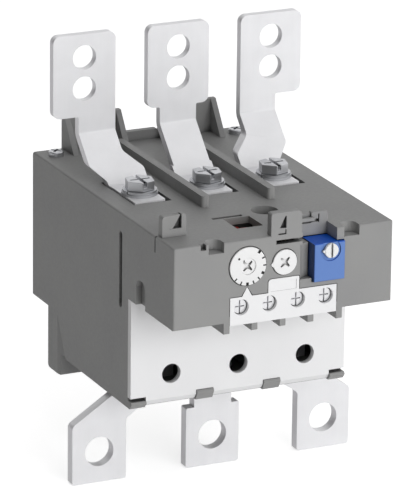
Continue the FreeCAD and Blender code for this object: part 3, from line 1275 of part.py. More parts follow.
def front_notch(side):
    """Round-backed notch in the top front edge."""
    low = side * (HALF_WIDTH - NOTCH_INSET) - NOTCH_WIDTH / 2
    high = side * (HALF_WIDTH - NOTCH_INSET) + NOTCH_WIDTH / 2
    rear = NOSE_FRONT + NOTCH_REACH
    plan = [(low, NOSE_FRONT - 1), (high, NOSE_FRONT - 1), (high, rear, NOTCH_WIDTH * 0.48),
            (low, rear, NOTCH_WIDTH * 0.48)]
    return prism(plan, "Z", CASE_TOP - NOTCH_DEPTH, CASE_TOP + 1)


def notch_boss(side):
    """Wall behind and under a notch, so that it stays closed to the inside."""
    low = side * (HALF_WIDTH - NOTCH_INSET) - NOTCH_WIDTH / 2 - 1.4
    high = side * (HALF_WIDTH - NOTCH_INSET) + NOTCH_WIDTH / 2 + 1.4
    return block(low, high, NOSE_FRONT + 1, NOSE_FRONT + NOTCH_REACH + 1.4,
                 CASE_TOP - NOTCH_DEPTH - 1.4, CASE_TOP - 1)


def side_pocket():
    """Arched pocket in the nose's side, open at the bottom."""
    front = POCKET_REAR - POCKET_WIDTH
    face = [(front, NOSE_BOTTOM - 1), (POCKET_REAR, NOSE_BOTTOM - 1),
            (POCKET_REAR, POCKET_TOP, POCKET_WIDTH * 0.4), (front, POCKET_TOP, POCKET_WIDTH * 0.4)]
    return prism(face, "X", -HALF_WIDTH - 1, -HALF_WIDTH + POCKET_DEPTH)


def barrier(x, front):
    """Thin barrier that hangs below the wire chambers."""
    half = BARRIER_WIDTH / 2
    foot = [(front, NOSE_FLOOR), (front, BARRIER_BOTTOM, 0.3),
            (BARRIER_REAR, BARRIER_BOTTOM, 0.3), (BARRIER_REAR, NOSE_FLOOR)]
    return prism(foot, "X", x - half, x + half)


def block_space():
    """Space of the control block above its lower face, with the fitting gap."""
    half = BLOCK_HALF + FIT_GAP
    return block(-half, half, NOSE_FRONT - 1, BLOCK_REAR + FIT_GAP, BLOCK_BOTTOM - FIT_GAP, BLOCK_TOP + FIT_GAP)


def finger_scoop():
    """Hollow beside the reset button that deepens towards it."""
    left = BUTTON_X - BUTTON_WIDTH / 2 - RUN_GAP
    z_low = BUTTON_Z - BUTTON_HEIGHT / 2 + 1.2
    z_high = BUTTON_Z + BUTTON_HEIGHT / 2 + RUN_GAP
    radius = (SCOOP_REACH ** 2 + FINGER_DEPTH ** 2) / (2 * FINGER_DEPTH)
    hollow = rod("Z", left, NOSE_FRONT + FINGER_DEPTH - radius, radius, z_low, z_high)
    return hollow.common(block(left - SCOOP_REACH, left + 0.5, NOSE_FRONT - 1,
                               NOSE_FRONT + FINGER_DEPTH + 0.1, z_low, z_high))


def scoop_backing():
    """Thicker wall behind the finger hollow."""
    left = BUTTON_X - BUTTON_WIDTH / 2 - RUN_GAP
    return block(left - SCOOP_REACH - 1, left, NOSE_FRONT + 1, NOSE_FRONT + FINGER_DEPTH + 1.6,
                 BUTTON_Z - BUTTON_HEIGHT / 2, NOSE_CEILING + 1)


def tab_recess():
    """Undercut strip in the front face below the front tab."""
    low = TAB_X - TAB_WIDTH / 2 + 1.9
    high = TAB_X + TAB_WIDTH / 2 + 0.6
    return block(low, high, NOSE_FRONT - 1, NOSE_FRONT + 2.8, CASE_TOP - 3.1, CASE_TOP - 1.7)


def seam_line():
    """Short seam at the top of the nose's side."""
    return block(-HALF_WIDTH - 1, -HALF_WIDTH + SEAM_DEPTH, SEAM_Y - SEAM_WIDTH / 2, SEAM_Y + SEAM_WIDTH / 2,
                 CASE_TOP - SEAM_HEIGHT, CASE_TOP + 1)


def make_front_housing():
    well_x = BUTTON_WIDTH / 2 + RUN_GAP
    well_z = BUTTON_HEIGHT / 2 + RUN_GAP
    socket_bottom = CASE_TOP - SOCKET_DEPTH - SOCKET_FLOOR
    shapes = [nose_shell(), nose_tab(), marker_clip(), seal_tab(), notch_boss(-1), notch_boss(1), scoop_backing(),
              room_backing()]
    shapes.append(block(BUTTON_X - well_x - WELL_WALL, BUTTON_X + well_x + WELL_WALL, NOSE_FRONT + 1,
                        WELL_REAR, BUTTON_Z - well_z - WELL_WALL, CASE_TOP - 1))
    shapes.append(rod("Z", SOCKET_X, SOCKET_Y, SOCKET_R + SOCKET_WALL, socket_bottom, CASE_TOP - 1))
    for x, z in ((SETTING_X, SETTING_Z), (SELECTOR_X, SELECTOR_Z)):
        shapes.append(rod("Y", x, z, STEM_BOSS_R, NOSE_FRONT + 1, NOSE_FRONT + STEM_BOSS_LENGTH))
    shell = join(shapes)

    opening = prism(block_outline(BLOCK_GAP), "Y", NOSE_FRONT - 1, NOSE_FRONT + WALL + FIT_GAP)
    through = block(-BLOCK_HALF - FIT_GAP, BLOCK_HALF + FIT_GAP, NOSE_FRONT - 1, BLOCK_REAR + FIT_GAP,
                    NOSE_BOTTOM - 1, BLOCK_TOP + FIT_GAP)
    shell = shell.cut([opening, through])

    edge = BLOCK_HALF + FIT_GAP + BARRIER_WIDTH / 2
    barriers = [barrier(-edge, NOSE_FRONT), barrier(edge, NOSE_FRONT)]
    for step in range(1, TERMINAL_COUNT):
        x = (TERMINALS[step - 1] + TERMINALS[step]) / 2
        barriers.append(barrier(x, NOSE_FRONT + BARRIER_SET_BACK).cut(block_space()))
    shell = join([shell] + barriers)

    dial_depth = NOSE_FRONT + DIAL_SUNK + RUN_GAP
    return shell.cut([
        prism(rectangle(BUTTON_X - well_x, BUTTON_X + well_x, BUTTON_Z - well_z, BUTTON_Z + well_z, 0.3), "Y",
              NOSE_FRONT - 1, WELL_REAR + 1),
        block(BUTTON_X - well_x, CHANNEL_RIGHT, NOSE_FRONT - 1, CHANNEL_REAR, BUTTON_Z, CASE_TOP + 1),
        rod("Y", SETTING_X, SETTING_Z, SETTING_R + DIAL_GAP, NOSE_FRONT - 1, dial_depth),
        rod("Y", SETTING_X, SETTING_Z, STEM_R + BEARING_GAP, NOSE_FRONT - 1, NOSE_FRONT + STEM_BOSS_LENGTH + 1),
        rod("Y", SELECTOR_X, SELECTOR_Z, SELECTOR_R + DIAL_GAP, NOSE_FRONT - 1, dial_depth),
        rod("Y", SELECTOR_X, SELECTOR_Z, STEM_R + BEARING_GAP, NOSE_FRONT - 1, NOSE_FRONT + STEM_BOSS_LENGTH + 1),
        block(WINDOW_X - WINDOW_WIDTH / 2, WINDOW_X + WINDOW_WIDTH / 2, WINDOW_Y - WINDOW_LENGTH / 2,
              WINDOW_Y + WINDOW_LENGTH / 2, NOSE_CEILING - 1, CASE_TOP + 1),
        block(STEP_LEFT, STEP_RIGHT, STEP_Y - 0.8, STEP_Y + 0.8, CASE_TOP - 0.8, CASE_TOP + 1),
        keyhole(),
        button_room(),
        rod("Z", SOCKET_X, SOCKET_Y, SOCKET_R, socket_bottom - 1, CASE_TOP + 1),
        front_notch(-1), front_notch(1), side_pocket(), mirror_x(side_pocket()),
        finger_scoop(), tab_recess(), seam_line(), mirror_x(seam_line())])


def make_case_screw(side):
    x = side * (HALF_WIDTH - CASE_SCREW_INSET)
    top = CASE_TOP + 1.8
    head = rod("Z", x, CASE_SCREW_Y, CASE_SCREW_HEAD, CASE_TOP, top)
    rim = [edge for edge in head.Edges if abs(edge.BoundBox.ZMin - top) < 0.01]
    head = head.makeFillet(0.6, rim)
    head = head.cut(cross_slot("Z", x, CASE_SCREW_Y, top + 0.01, 1.2, 3.8, 0.9))
    return join([head, rod("Z", x, CASE_SCREW_Y, CASE_SCREW_SHAFT, CASE_TOP - CASE_SCREW_LENGTH, CASE_TOP + 0.3)])


def build():
    """Every node's shape by name. Like fasteners share one node as separate solids."""
    def group(maker, keys):
        return Part.makeCompound([maker(key) for key in keys])

    terminals = range(TERMINAL_COUNT)
    nodes = {
        "rear_housing": make_rear_housing(),
        "front_housing": make_front_housing(),
        "terminal_cover": make_terminal_cover(),
        "control_terminal_block": make_control_block(),
        "input_flat_washers": group(make_flat_washer, SIDES),
        "input_lock_washers": group(make_lock_washer, SIDES),
        "input_bar_screws": group(make_bar_screw, SIDES),
        "terminal_nuts": group(make_terminal_nut, SIDES),
        "link_screws": group(make_link_screw, SIDES),
        "link_nuts": group(make_link_nut, SIDES),
        "case_screws": group(make_case_screw, (-1, 1)),
        "control_terminal_screws": group(make_terminal_screw, TERMINALS),
        "control_clamps": group(make_clamp, TERMINALS),
        "contact_strips": group(make_contact_strip, terminals),
        "fixed_contacts": group(make_fixed_contact, terminals),
        "moving_contacts": make_moving_contacts(),
        "contact_carrier": make_contact_carrier(),
        "trip_flag": make_trip_flag(),
        "trip_slide": make_trip_slide(),
        "trip_lever": make_trip_lever(),
        "trip_lever_pin": make_trip_lever_pin(),
        "setting_cam": make_setting_cam(),
        "setting_lever": make_setting_lever(),
        "setting_lever_pin": make_setting_lever_pin(),
        "mechanism_plate": make_mechanism_plate(),
        "setting_dial": make_setting_dial(),
        "selector_dial": make_selector_dial(),
        "reset_button": make_reset_button(),
        "reset_spring": make_reset_spring(),
        "mode_selector": make_mode_selector()}
    for pole, side in SIDES.items():
        nodes["input_bar_" + side] = make_input_bar(pole)
        nodes["output_bar_" + side] = make_output_bar(pole)
        nodes["heater_" + side] = make_heater(pole)
        nodes["bimetal_" + side] = make_bimetal(pole)
    return nodes


os.makedirs("parts", exist_ok=True)
for node, shape in build().items():
    shape.exportStep("parts/" + node + ".step")
    print(node, len(shape.Solids), "solids", round(shape.Volume), "mm3", shape.isValid())
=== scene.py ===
import json
import math

import bmesh
import bpy
from mathutils import Matrix, Vector


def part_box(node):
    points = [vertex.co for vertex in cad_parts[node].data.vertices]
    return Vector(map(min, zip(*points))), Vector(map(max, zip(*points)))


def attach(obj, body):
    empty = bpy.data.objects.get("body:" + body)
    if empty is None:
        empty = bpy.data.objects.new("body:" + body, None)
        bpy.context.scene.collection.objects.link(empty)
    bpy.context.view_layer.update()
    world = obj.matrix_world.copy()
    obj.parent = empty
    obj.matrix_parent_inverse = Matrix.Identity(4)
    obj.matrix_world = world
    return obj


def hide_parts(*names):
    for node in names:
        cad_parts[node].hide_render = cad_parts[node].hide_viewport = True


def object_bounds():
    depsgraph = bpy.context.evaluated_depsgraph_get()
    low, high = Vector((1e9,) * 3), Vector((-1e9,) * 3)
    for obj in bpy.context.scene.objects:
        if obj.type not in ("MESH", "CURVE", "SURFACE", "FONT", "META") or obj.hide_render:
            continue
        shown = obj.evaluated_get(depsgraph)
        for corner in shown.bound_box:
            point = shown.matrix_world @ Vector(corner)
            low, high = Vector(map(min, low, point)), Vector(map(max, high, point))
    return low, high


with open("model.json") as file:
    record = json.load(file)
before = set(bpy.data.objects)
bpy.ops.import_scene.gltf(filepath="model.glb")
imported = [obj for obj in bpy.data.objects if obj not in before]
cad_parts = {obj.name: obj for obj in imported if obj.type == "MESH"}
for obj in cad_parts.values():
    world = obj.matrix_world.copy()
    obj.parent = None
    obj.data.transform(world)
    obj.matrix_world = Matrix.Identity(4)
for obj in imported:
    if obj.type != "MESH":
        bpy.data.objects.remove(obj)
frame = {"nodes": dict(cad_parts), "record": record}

# Looks of a thermal overload relay. Everything is in metres, in the frame of the solids:
# +X right seen from the front, +Y back, +Z up, origin on the rear of the middle input bar.

MM = 0.001
NODES = frame["nodes"]
SOLIDS_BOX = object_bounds()


def linear(hex_colour):
    """Linear RGBA of an sRGB hex colour."""
    channels = [int(hex_colour[i:i + 2], 16) / 255 for i in (1, 3, 5)]
    values = [c / 12.92 if c <= 0.04045 else ((c + 0.055) / 1.055) ** 2.4 for c in channels]
    return (*values, 1.0)


def add(tree, kind, sockets=None, **settings):
    """Adds a node, sets its properties, and sets or links its sockets by name or number."""
    made = tree.nodes.new(kind)
    for key, value in settings.items():
        setattr(made, key, value)
    for key, value in (sockets or {}).items():
        if isinstance(value, bpy.types.NodeSocket):
            tree.links.new(value, made.inputs[key])
        else:
            made.inputs[key].default_value = value
    return made


def new_material(name):
    """An empty node material, its node tree, and the piece's own coordinates in millimetres."""
    material = bpy.data.materials.new(name)
    material.use_nodes = True
    tree = material.node_tree
    tree.nodes.clear()
    place = add(tree, "ShaderNodeTexCoord").outputs["Object"]
    millimetres = add(tree, "ShaderNodeVectorMath", {0: place, "Scale": 1 / MM}, operation="SCALE")
    return material, tree, millimetres.outputs["Vector"]


def close_material(tree, shader):
    """Adds the material's output and links the finished shader to it."""
    add(tree, "ShaderNodeOutputMaterial", {"Surface": shader.outputs["BSDF"]})


# A noise of scale 1 has blotches about this wide, and its values lie mostly in this range
NOISE_BLOTCH = 0.6
NOISE_RANGE = (0.3, 0.7)
# Share of open sky at which a corner takes the whole painted shade, and at which it takes none
FULL_SHADE_OPENNESS = 0.3
NO_SHADE_OPENNESS = 0.62
# How squarely a face looks along an axis before it is wholly of its other colour
SQUARE_ON = 0.9
# Width in millimetres of a moulding's flow marks and of its slight waves, and of a plating's dull patches
FLOW_MM = 14.0
WAVE_MM = 6.0
PATCH_MM = 5.0
WAVE_DEPTH = 0.02 * MM


def speckle(tree, place, size_mm, detail=2.0):
    """Noise whose blotches are about size_mm across, from 0 to 1."""
    noise = add(tree, "ShaderNodeTexNoise", {
        "Vector": place, "Scale": NOISE_BLOTCH / size_mm, "Detail": detail})
    return noise.outputs["Fac"]


def between(tree, factor, low, high):
    """A noise spread over a range of numbers."""
    spread = add(tree, "ShaderNodeMapRange", {
        "Value": factor, "From Min": NOISE_RANGE[0], "From Max": NOISE_RANGE[1],
        "To Min": low, "To Max": high})
    return spread.outputs["Result"]


def tinted(tree, factor, first, second):
    """A colour that drifts between two hex colours."""
    mix = add(tree, "ShaderNodeMix", {"Factor": factor, "A": linear(first), "B": linear(second)},
              data_type="RGBA")
    return mix.outputs["Result"]


def painted_corner_shade(tree, unshaded, corner_shade, reach_mm):
    """The colour, darkened by a painted shade from ambient occlusion in slots and corners narrower than the
    reach.
    """
    # Painted shade: the colour darkens where ambient occlusion finds the surface hemmed in.
    openness = add(tree, "ShaderNodeAmbientOcclusion", {"Distance": reach_mm * MM}, samples=8)
    unshaded_share = add(tree, "ShaderNodeMapRange", {
        "Value": openness.outputs["AO"], "From Min": FULL_SHADE_OPENNESS, "From Max": NO_SHADE_OPENNESS})
    mix = add(tree, "ShaderNodeMix", {"Factor": unshaded_share.outputs["Result"], "A": linear(corner_shade), "B": unshaded},
              data_type="RGBA")
    return mix.outputs["Result"]


def faces_along(tree, colour, axis, sharpness, other):
    """The colour, and the other one painted on faces square to an axis of the piece, whichever way they look,
    as a painted light or shade by facing.
    """
    facing = add(tree, "ShaderNodeTexCoord").outputs["Normal"]
    normal = add(tree, "ShaderNodeSeparateXYZ", {"Vector": facing})
    size = add(tree, "ShaderNodeMath", {0: normal.outputs[axis]}, operation="ABSOLUTE")
    turned = add(tree, "ShaderNodeMapRange", {
        "Value": size.outputs["Value"], "From Min": sharpness, "From Max": SQUARE_ON})
    mix = add(tree, "ShaderNodeMix", {"Factor": turned.outputs["Result"], "A": colour, "B": linear(other)},
              data_type="RGBA")
    return mix.outputs["Result"]


def moulded_plastic(name, colours, gloss, grain_mm, grain_depth_mm, corner_shade, ior=1.5, faces=()):
    """Injection moulded plastic: cloudy flow marks in the colour and a spark-eroded grain in the surface.

    faces holds pairs of an axis and the colour painted on the faces square to it, as a painted light or
    shade.
    """
    material, tree, place = new_material(name)
    flow = between(tree, speckle(tree, place, FLOW_MM), 0.0, 1.0)
    colour = tinted(tree, flow, *colours)
    for axis, other in faces:
        colour = faces_along(tree, colour, axis, 0.6, other)
    grain = speckle(tree, place, grain_mm, 3.0)
    waviness = speckle(tree, place, WAVE_MM)
    sink = add(tree, "ShaderNodeBump", {"Height": waviness, "Strength": 0.25, "Distance": WAVE_DEPTH})
    pitted = add(tree, "ShaderNodeBump", {
        "Height": grain, "Strength": 0.6, "Distance": grain_depth_mm * MM, "Normal": sink.outputs["Normal"]})
    shader = add(tree, "ShaderNodeBsdfPrincipled", {
        # The base colour takes a painted shade in its slots and corners.
        "Base Color": painted_corner_shade(tree, colour, *corner_shade), "Roughness": between(tree, grain, *gloss),
        "Normal": pitted.outputs["Normal"], "IOR": ior})
    close_material(tree, shader)
    return material


def plated_metal(name, colours, gloss, grain_mm, streaks, depth_mm, corner_shade=("#2a2a2b", 0.8), sheared_and_shaded=None,
                 metallic=1.0):
    """Metal with the fine lines of its rolling or drawing, under a thin plating that dulls in patches.

    streaks scales the pattern along each axis, where less than 1 draws it out into lines, and sheared is the
    colour of the faces square to X: the duller cut edges, with a painted shade of the sides.
    """
    material, tree, place = new_material(name)
    drawn = add(tree, "ShaderNodeVectorMath", {0: place, 1: streaks}, operation="MULTIPLY")
    lines = speckle(tree, drawn.outputs["Vector"], grain_mm, 3.0)
    colour = tinted(tree, between(tree, speckle(tree, place, PATCH_MM), 0.0, 1.0), *colours)
    if sheared_and_shaded:
        # Partly painted shade: faces square to X take a darker grey, for the cut edges and the shade on the
        # sides.
        colour = faces_along(tree, colour, "X", 0.45, sheared_and_shaded)
    bump = add(tree, "ShaderNodeBump", {"Height": lines, "Strength": 0.5, "Distance": depth_mm * MM})
    shader = add(tree, "ShaderNodeBsdfPrincipled", {
        # The base colour takes a painted shade in its slots and corners.
        "Base Color": painted_corner_shade(tree, colour, *corner_shade), "Metallic": metallic,
        "Roughness": between(tree, lines, *gloss), "Normal": bump.outputs["Normal"]})
    close_material(tree, shader)
    return material


# The last pair given to a finish, where there is one, is the colour of the painted shade in its slots and
# corners and its reach in millimetres.
# Glass-filled polyamide, moulded in a spark-eroded tool: an even mid grey with a soft sheen.
GREY_CASE = moulded_plastic("moulded_grey_polyamide", ("#8d8d8d", "#929291"), (0.45, 0.58), 0.7, 0.012,
                            ("#444444", 3.2))
# Polycarbonate, moulded in a smoother tool: clean white with a slightly tighter highlight.
WHITE_COVER = moulded_plastic("moulded_white_polycarbonate", ("#e9e9ea", "#ededee"), (0.4, 0.5), 0.8, 0.006,
                              ("#767676", 0.9))
# Acetal, moulded smooth: a dense warm white for the dials and the small knob.
WHITE_DIAL = moulded_plastic("moulded_white_acetal", ("#e6e6e6", "#ebebeb"), (0.34, 0.42), 0.8, 0.004,
                             ("#6a6967", 1.7))
# ABS with a spark-eroded grain, blue, with a paler blue painted on its front faces as a sheen and a darker
# blue painted on its side faces as shade.
BLUE_BUTTON = moulded_plastic("moulded_blue_abs", ("#0054c2", "#0457c6"), (0.42, 0.5), 0.8, 0.005,
                              ("#12233f", 1.0), faces=(("Y", "#5f81c0"), ("X", "#223c6c")))
# Acetal dyed red for the trip indicator.
RED_FLAG = moulded_plastic("moulded_red_acetal", ("#9c1c14", "#a8221a"), (0.35, 0.45), 0.8, 0.006,
                           ("#3a0d0a", 0.6))
# Phenolic moulding for the inner plate: nearly black and dull, so the window stays dark.
DARK_PLATE = moulded_plastic("moulded_black_phenolic", ("#232324", "#2a2a2b"), (0.5, 0.65), 0.9, 0.02,
                             ("#101010", 0.8))
# Undyed acetal of the inner slides: a yellowish white.
RAW_ACETAL = moulded_plastic("moulded_natural_acetal", ("#d8cfae", "#dfd7b9"), (0.35, 0.45), 0.8, 0.006,
                             ("#8a8067", 0.8))
# Copper strip, punched and matt tin plated: almost white, with faint lines along the rolling direction, and a
# darker grey on faces square to X for the duller sheared edges and a painted shade of the bars' sides. The
# matt plating scatters part of its light, so it isn't a pure mirror.
TINNED_COPPER = plated_metal("tin_plated_rolled_copper", ("#ebebed", "#efeff1"), (0.5, 0.6), 0.5,
                             (1.0, 1.0, 0.06), 0.0006, ("#77777a", 0.8), sheared_and_shaded="#e0dfe2", metallic=0.6)
# Steel, cold headed and zinc plated: a bright grey whose satin plating blurs what it mirrors.
ZINC_STEEL = plated_metal("zinc_plated_headed_steel", ("#c2c3c6", "#cfd0d3"), (0.36, 0.44), 0.5,
                          (1.0, 1.0, 1.0), 0.0004, ("#77777a", 0.5))
# The small control screws have a fresher plating, which keeps their heads almost white.
BRIGHT_ZINC = plated_metal("bright_zinc_plated_steel", ("#e0e0e2", "#e6e6e8"), (0.26, 0.34), 0.5,
                           (1.0, 1.0, 1.0), 0.0003, ("#85858a", 0.5))
# Drawn spring wire with a thin oil film.
SPRING_WIRE = plated_metal("drawn_spring_steel_wire", ("#9a9a9c", "#a8a8aa"), (0.22, 0.3), 0.3,
                           (1.0, 0.2, 1.0), 0.002)
# Resistance alloy strip, oxidised by its own heat: dark brownish grey.
HEATER_STRIP = plated_metal("oxidised_resistance_alloy", ("#6a635b", "#7c746a"), (0.4, 0.55), 0.4,
                            (1.0, 1.0, 0.1), 0.003)
# Two rolled alloys bonded face to face: a dull warm grey.
BIMETAL_STRIP = plated_metal("rolled_bimetal", ("#8f8a7c", "#9a9586"), (0.3, 0.45), 0.4,
                             (1.0, 1.0, 0.1), 0.002)
# Cartridge brass, stamped.
STAMPED_BRASS = plated_metal("stamped_cartridge_brass", ("#c29a4c", "#cba65a"), (0.25, 0.38), 0.4,
                             (0.1, 1.0, 1.0), 0.002)
# Fine silver rivets.
SILVER_CONTACT = plated_metal("headed_fine_silver", ("#dcdad4", "#e6e4de"), (0.25, 0.35), 0.3,
                              (1.0, 1.0, 1.0), 0.002)
# Pad printing ink: flat black with no grain of its own.
PRINT_INK = moulded_plastic("pad_printed_black_ink", ("#0b0b0b", "#101010"), (0.6, 0.7), 0.5, 0.002,
                            ("#080808", 0.1), ior=1.45)

FINISHES = {
    "case_grey": GREY_CASE, "cover_white": WHITE_COVER, "insert_white": WHITE_COVER,
    "dial_white": WHITE_DIAL, "button_blue": BLUE_BUTTON, "flag_red": RED_FLAG,
    "frame_plastic": DARK_PLATE, "slide_plastic": RAW_ACETAL,
    "plated_bar": TINNED_COPPER, "plated_steel": ZINC_STEEL, "spring_steel": SPRING_WIRE,
    "heater_alloy": HEATER_STRIP, "bimetal": BIMETAL_STRIP, "brass": STAMPED_BRASS,
    "silver_contact": SILVER_CONTACT}


# Rounding of the moulded and punched edges by finish, in millimetres, and the steps it is made in
EDGE_MM = {"case_grey": 0.25, "cover_white": 0.25, "insert_white": 0.15, "plated_bar": 0.3}
EDGE_SEGMENTS = 2
SOLID_EDGE_DEG = 35
PIECE_EDGE_DEG = 30
WELD_GAP = 0.0005 * MM


def round_off(piece, width_mm, segments=EDGE_SEGMENTS, angle_deg=PIECE_EDGE_DEG):
    """Rounds the edges of a piece that are sharper than the angle."""
    soften = piece.modifiers.new("soft_edges", "BEVEL")
    soften.width = width_mm * MM
    soften.segments = segments
    soften.limit_method = "ANGLE"
    soften.angle_limit = math.radians(angle_deg)
    soften.harden_normals = True


def finish_solids():
    """Gives each solid its material, and a narrow rounding to the edges that show."""
    slots = {part["node"]: part["material_slot"] for part in frame["record"]["subparts"]}
    for name, solid in NODES.items():
        slot = slots[name]
        solid.data.materials.clear()
        solid.data.materials.append(FINISHES[slot])
        if slot in EDGE_MM:
            weld = solid.modifiers.new("joined_faces", "WELD")
            weld.merge_threshold = WELD_GAP
            round_off(solid, EDGE_MM[slot], angle_deg=SOLID_EDGE_DEG)


def mesh_piece(name, mesh, material, body):
    """Makes an object of a bmesh, with its finish, and lets it ride on a body."""
    data = bpy.data.meshes.new(name)
    mesh.to_mesh(data)
    mesh.free()
    data.materials.append(material)
    piece = bpy.data.objects.new(name, data)
    bpy.context.scene.collection.objects.link(piece)
    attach(piece, body)
    return piece


def prism(mesh, corners, start, end, upright=False):
    """Adds a closed prism over an outline: (X, Z) corners along Y, or (X, Y) corners along Z if upright."""
    ends = []
    for level in (start, end):
        ends.append([mesh.verts.new((a, b, level) if upright else (a, level, b)) for a, b in corners])
    near, far = ends
    mesh.faces.new(near)
    mesh.faces.new(far[::-1])
    for i in range(len(corners)):
        j = (i + 1) % len(corners)
        mesh.faces.new((near[j], near[i], far[i], far[j]))
    bmesh.ops.recalc_face_normals(mesh, faces=mesh.faces)


def ring_of(x, y, radius, sides, first_deg=0.0):
    """Corners of a regular outline round a centre."""
    angles = [math.radians(first_deg + 360 * k / sides) for k in range(sides)]
    return [(x + radius * math.cos(a), y + radius * math.sin(a)) for a in angles]


def bar_of(x, y, length, width):
    """Corners of a rectangle round a centre."""
    return [(x + i * length / 2, y + j * width / 2) for i, j in ((-1, -1), (1, -1), (1, 1), (-1, 1))]


def scratch(make):
    """A loose object for a boolean, which is removed afterwards."""
    mesh = bmesh.new()
    make(mesh)
    data = bpy.data.meshes.new("scratch")
    mesh.to_mesh(data)
    mesh.free()
    loose = bpy.data.objects.new("scratch", data)
    bpy.context.scene.collection.objects.link(loose)
    return loose


def carved(base, steps):
    """A bmesh of the base after each step, a pair of a boolean's name and what it is done with."""
    loose = [scratch(base)]
    for operation, tool in steps:
        loose.append(scratch(tool))
        cut = loose[0].modifiers.new(operation, "BOOLEAN")
        cut.operation = operation
        cut.solver = "EXACT"
        cut.object = loose[-1]
    graph = bpy.context.evaluated_depsgraph_get()
    mesh = bmesh.new()
    mesh.from_mesh(loose[0].evaluated_get(graph).to_mesh())
    for item in loose:
        bpy.data.objects.remove(item)
    return mesh


# Solids of one node that stand in a row are further apart than this
ROW_GAP = 4 * MM


def solids_along_x(name):
    """Middles, in X, of the solids of a node that stand in a row."""
    rows = [[]]
    for x in sorted(corner.co.x for corner in NODES[name].data.vertices):
        if rows[-1] and x - rows[-1][-1] > ROW_GAP:
            rows.append([])
        rows[-1].append(x)
    return [(row[0] + row[-1]) / 2 for row in rows]


def body_of(name):
    """The body that a node belongs to."""
    bodies = frame["record"]["behaviour"]["bodies"]
    return next(body for body, nodes in bodies.items() if name in nodes)


def joined(meshes):
    """One bmesh of several."""
    whole = bmesh.new()
    for mesh in meshes:
        data = bpy.data.meshes.new("scratch")
        mesh.to_mesh(data)
        mesh.free()
        whole.from_mesh(data)
        bpy.data.meshes.remove(data)
    return whole


# How far a head reaches past the end of its shaft, as a share of its height
HEAD_PAST_SHAFT = 0.8

# Bar screws: hexagon heads with a through slot along Y and a cross arm along X
HEX_HALF = 4.55 * MM
HEX_TURN_DEG = 17.6
HEX_HEIGHT = 3.3 * MM
HEX_SLOT = (1.25 * MM, 1.9 * MM)
HEX_ARM = (7.0 * MM, 1.15 * MM, 1.5 * MM)
HEX_EDGE_MM = 0.22
BAR_SHAFT = 3.0 * MM
SHAFT_SIDES = 32


def make_bar_screws():
    """The three screws on the input bars, with crisp flats instead of the chamfered heads."""
    low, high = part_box("input_bar_screws")
    y = (low.y + high.y) / 2
    screws = []
    for x in solids_along_x("input_bar_screws"):
        corners = ring_of(x, y, HEX_HALF / math.cos(math.pi / 6), 6, HEX_TURN_DEG)
        screws.append(carved(
            lambda mesh: prism(mesh, corners, high.z - HEX_HEIGHT, high.z, True),
            [("UNION", lambda mesh: prism(mesh, ring_of(x, y, BAR_SHAFT, SHAFT_SIDES), low.z,
                                          high.z - HEAD_PAST_SHAFT * HEX_HEIGHT, True)),
             ("DIFFERENCE", lambda mesh: prism(mesh, bar_of(x, y, HEX_SLOT[0], 3 * HEX_HALF),
                                               high.z - HEX_SLOT[1], high.z + MM, True)),
             ("DIFFERENCE", lambda mesh: prism(mesh, bar_of(x, y, *HEX_ARM[:2]),
                                               high.z - HEX_ARM[2], high.z + MM, True))]))
    piece = mesh_piece("bar_screws", joined(screws), ZINC_STEEL, body_of("input_bar_screws"))
    round_off(piece, HEX_EDGE_MM)
    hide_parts("input_bar_screws")


# Control screws: round heads with an upright slot and a short cross arm
CONTROL_HEAD = 2.5 * MM
CONTROL_HEIGHT = 2.4 * MM
CONTROL_SLOT = (0.42 * MM, 0.8 * MM)
CONTROL_ARM = (3.2 * MM, 0.35 * MM, 0.5 * MM)
CONTROL_EDGE_MM = 0.18
CONTROL_SHAFT = 1.6 * MM
CONTROL_SIDES = 48


def make_control_screws():
    """The four screws in the white block."""
    low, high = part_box("control_terminal_screws")
    z = (low.z + high.z) / 2
    screws = []
    for x in solids_along_x("control_terminal_screws"):
        screws.append(carved(
            lambda mesh: prism(mesh, ring_of(x, z, CONTROL_HEAD, CONTROL_SIDES),
                               low.y, low.y + CONTROL_HEIGHT),
            [("UNION", lambda mesh: prism(mesh, ring_of(x, z, CONTROL_SHAFT, SHAFT_SIDES),
                                          low.y + HEAD_PAST_SHAFT * CONTROL_HEIGHT, high.y)),
             ("DIFFERENCE", lambda mesh: prism(mesh, bar_of(x, z, CONTROL_SLOT[0], 3 * CONTROL_HEAD),
                                               low.y - MM, low.y + CONTROL_SLOT[1])),
             ("DIFFERENCE", lambda mesh: prism(mesh, bar_of(x, z, *CONTROL_ARM[:2]),
                                               low.y - MM, low.y + CONTROL_ARM[2]))]))
    piece = mesh_piece("control_screws", joined(screws), BRIGHT_ZINC,
                       body_of("control_terminal_screws"))
    round_off(piece, CONTROL_EDGE_MM, 3)
    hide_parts("control_terminal_screws")


# Scale of the setting dial: angles of the heavy marks, the last of them only the end of the light ones, then
# the rim, each mark's length and width, and each dot's place from the middle and its radius
MAJOR_MARKS_DEG = (49.0, -28.0, -92.0, -160.0)
MARKS_PER_MAJOR = 3
MARK_COUNT = 9
MARK_OUTER = 6.55 * MM
MAJOR_MARK = (1.05 * MM, 0.95 * MM)
MINOR_MARK = (1.1 * MM, 0.46 * MM)
DOTS = ((-3.33 * MM, 2.94 * MM, 0.4 * MM), (-1.5 * MM, 2.06 * MM, 0.22 * MM))
DOT_SIDES = 16
INK_HEIGHT = 0.03 * MM


def radial_mark(mesh, centre, angle, outer, length, width, front):
    """A short printed bar that points at the dial's centre."""
    along = Vector((math.cos(angle), math.sin(angle)))
    across = Vector((-along.y, along.x)) * width / 2
    middle = Vector((centre.x, centre.z))
    corners = [middle + along * (outer - length) - across, middle + along * outer - across,
               middle + along * outer + across, middle + along * (outer - length) + across]
    prism(mesh, [(c.x, c.y) for c in corners], front, front + 2 * INK_HEIGHT)


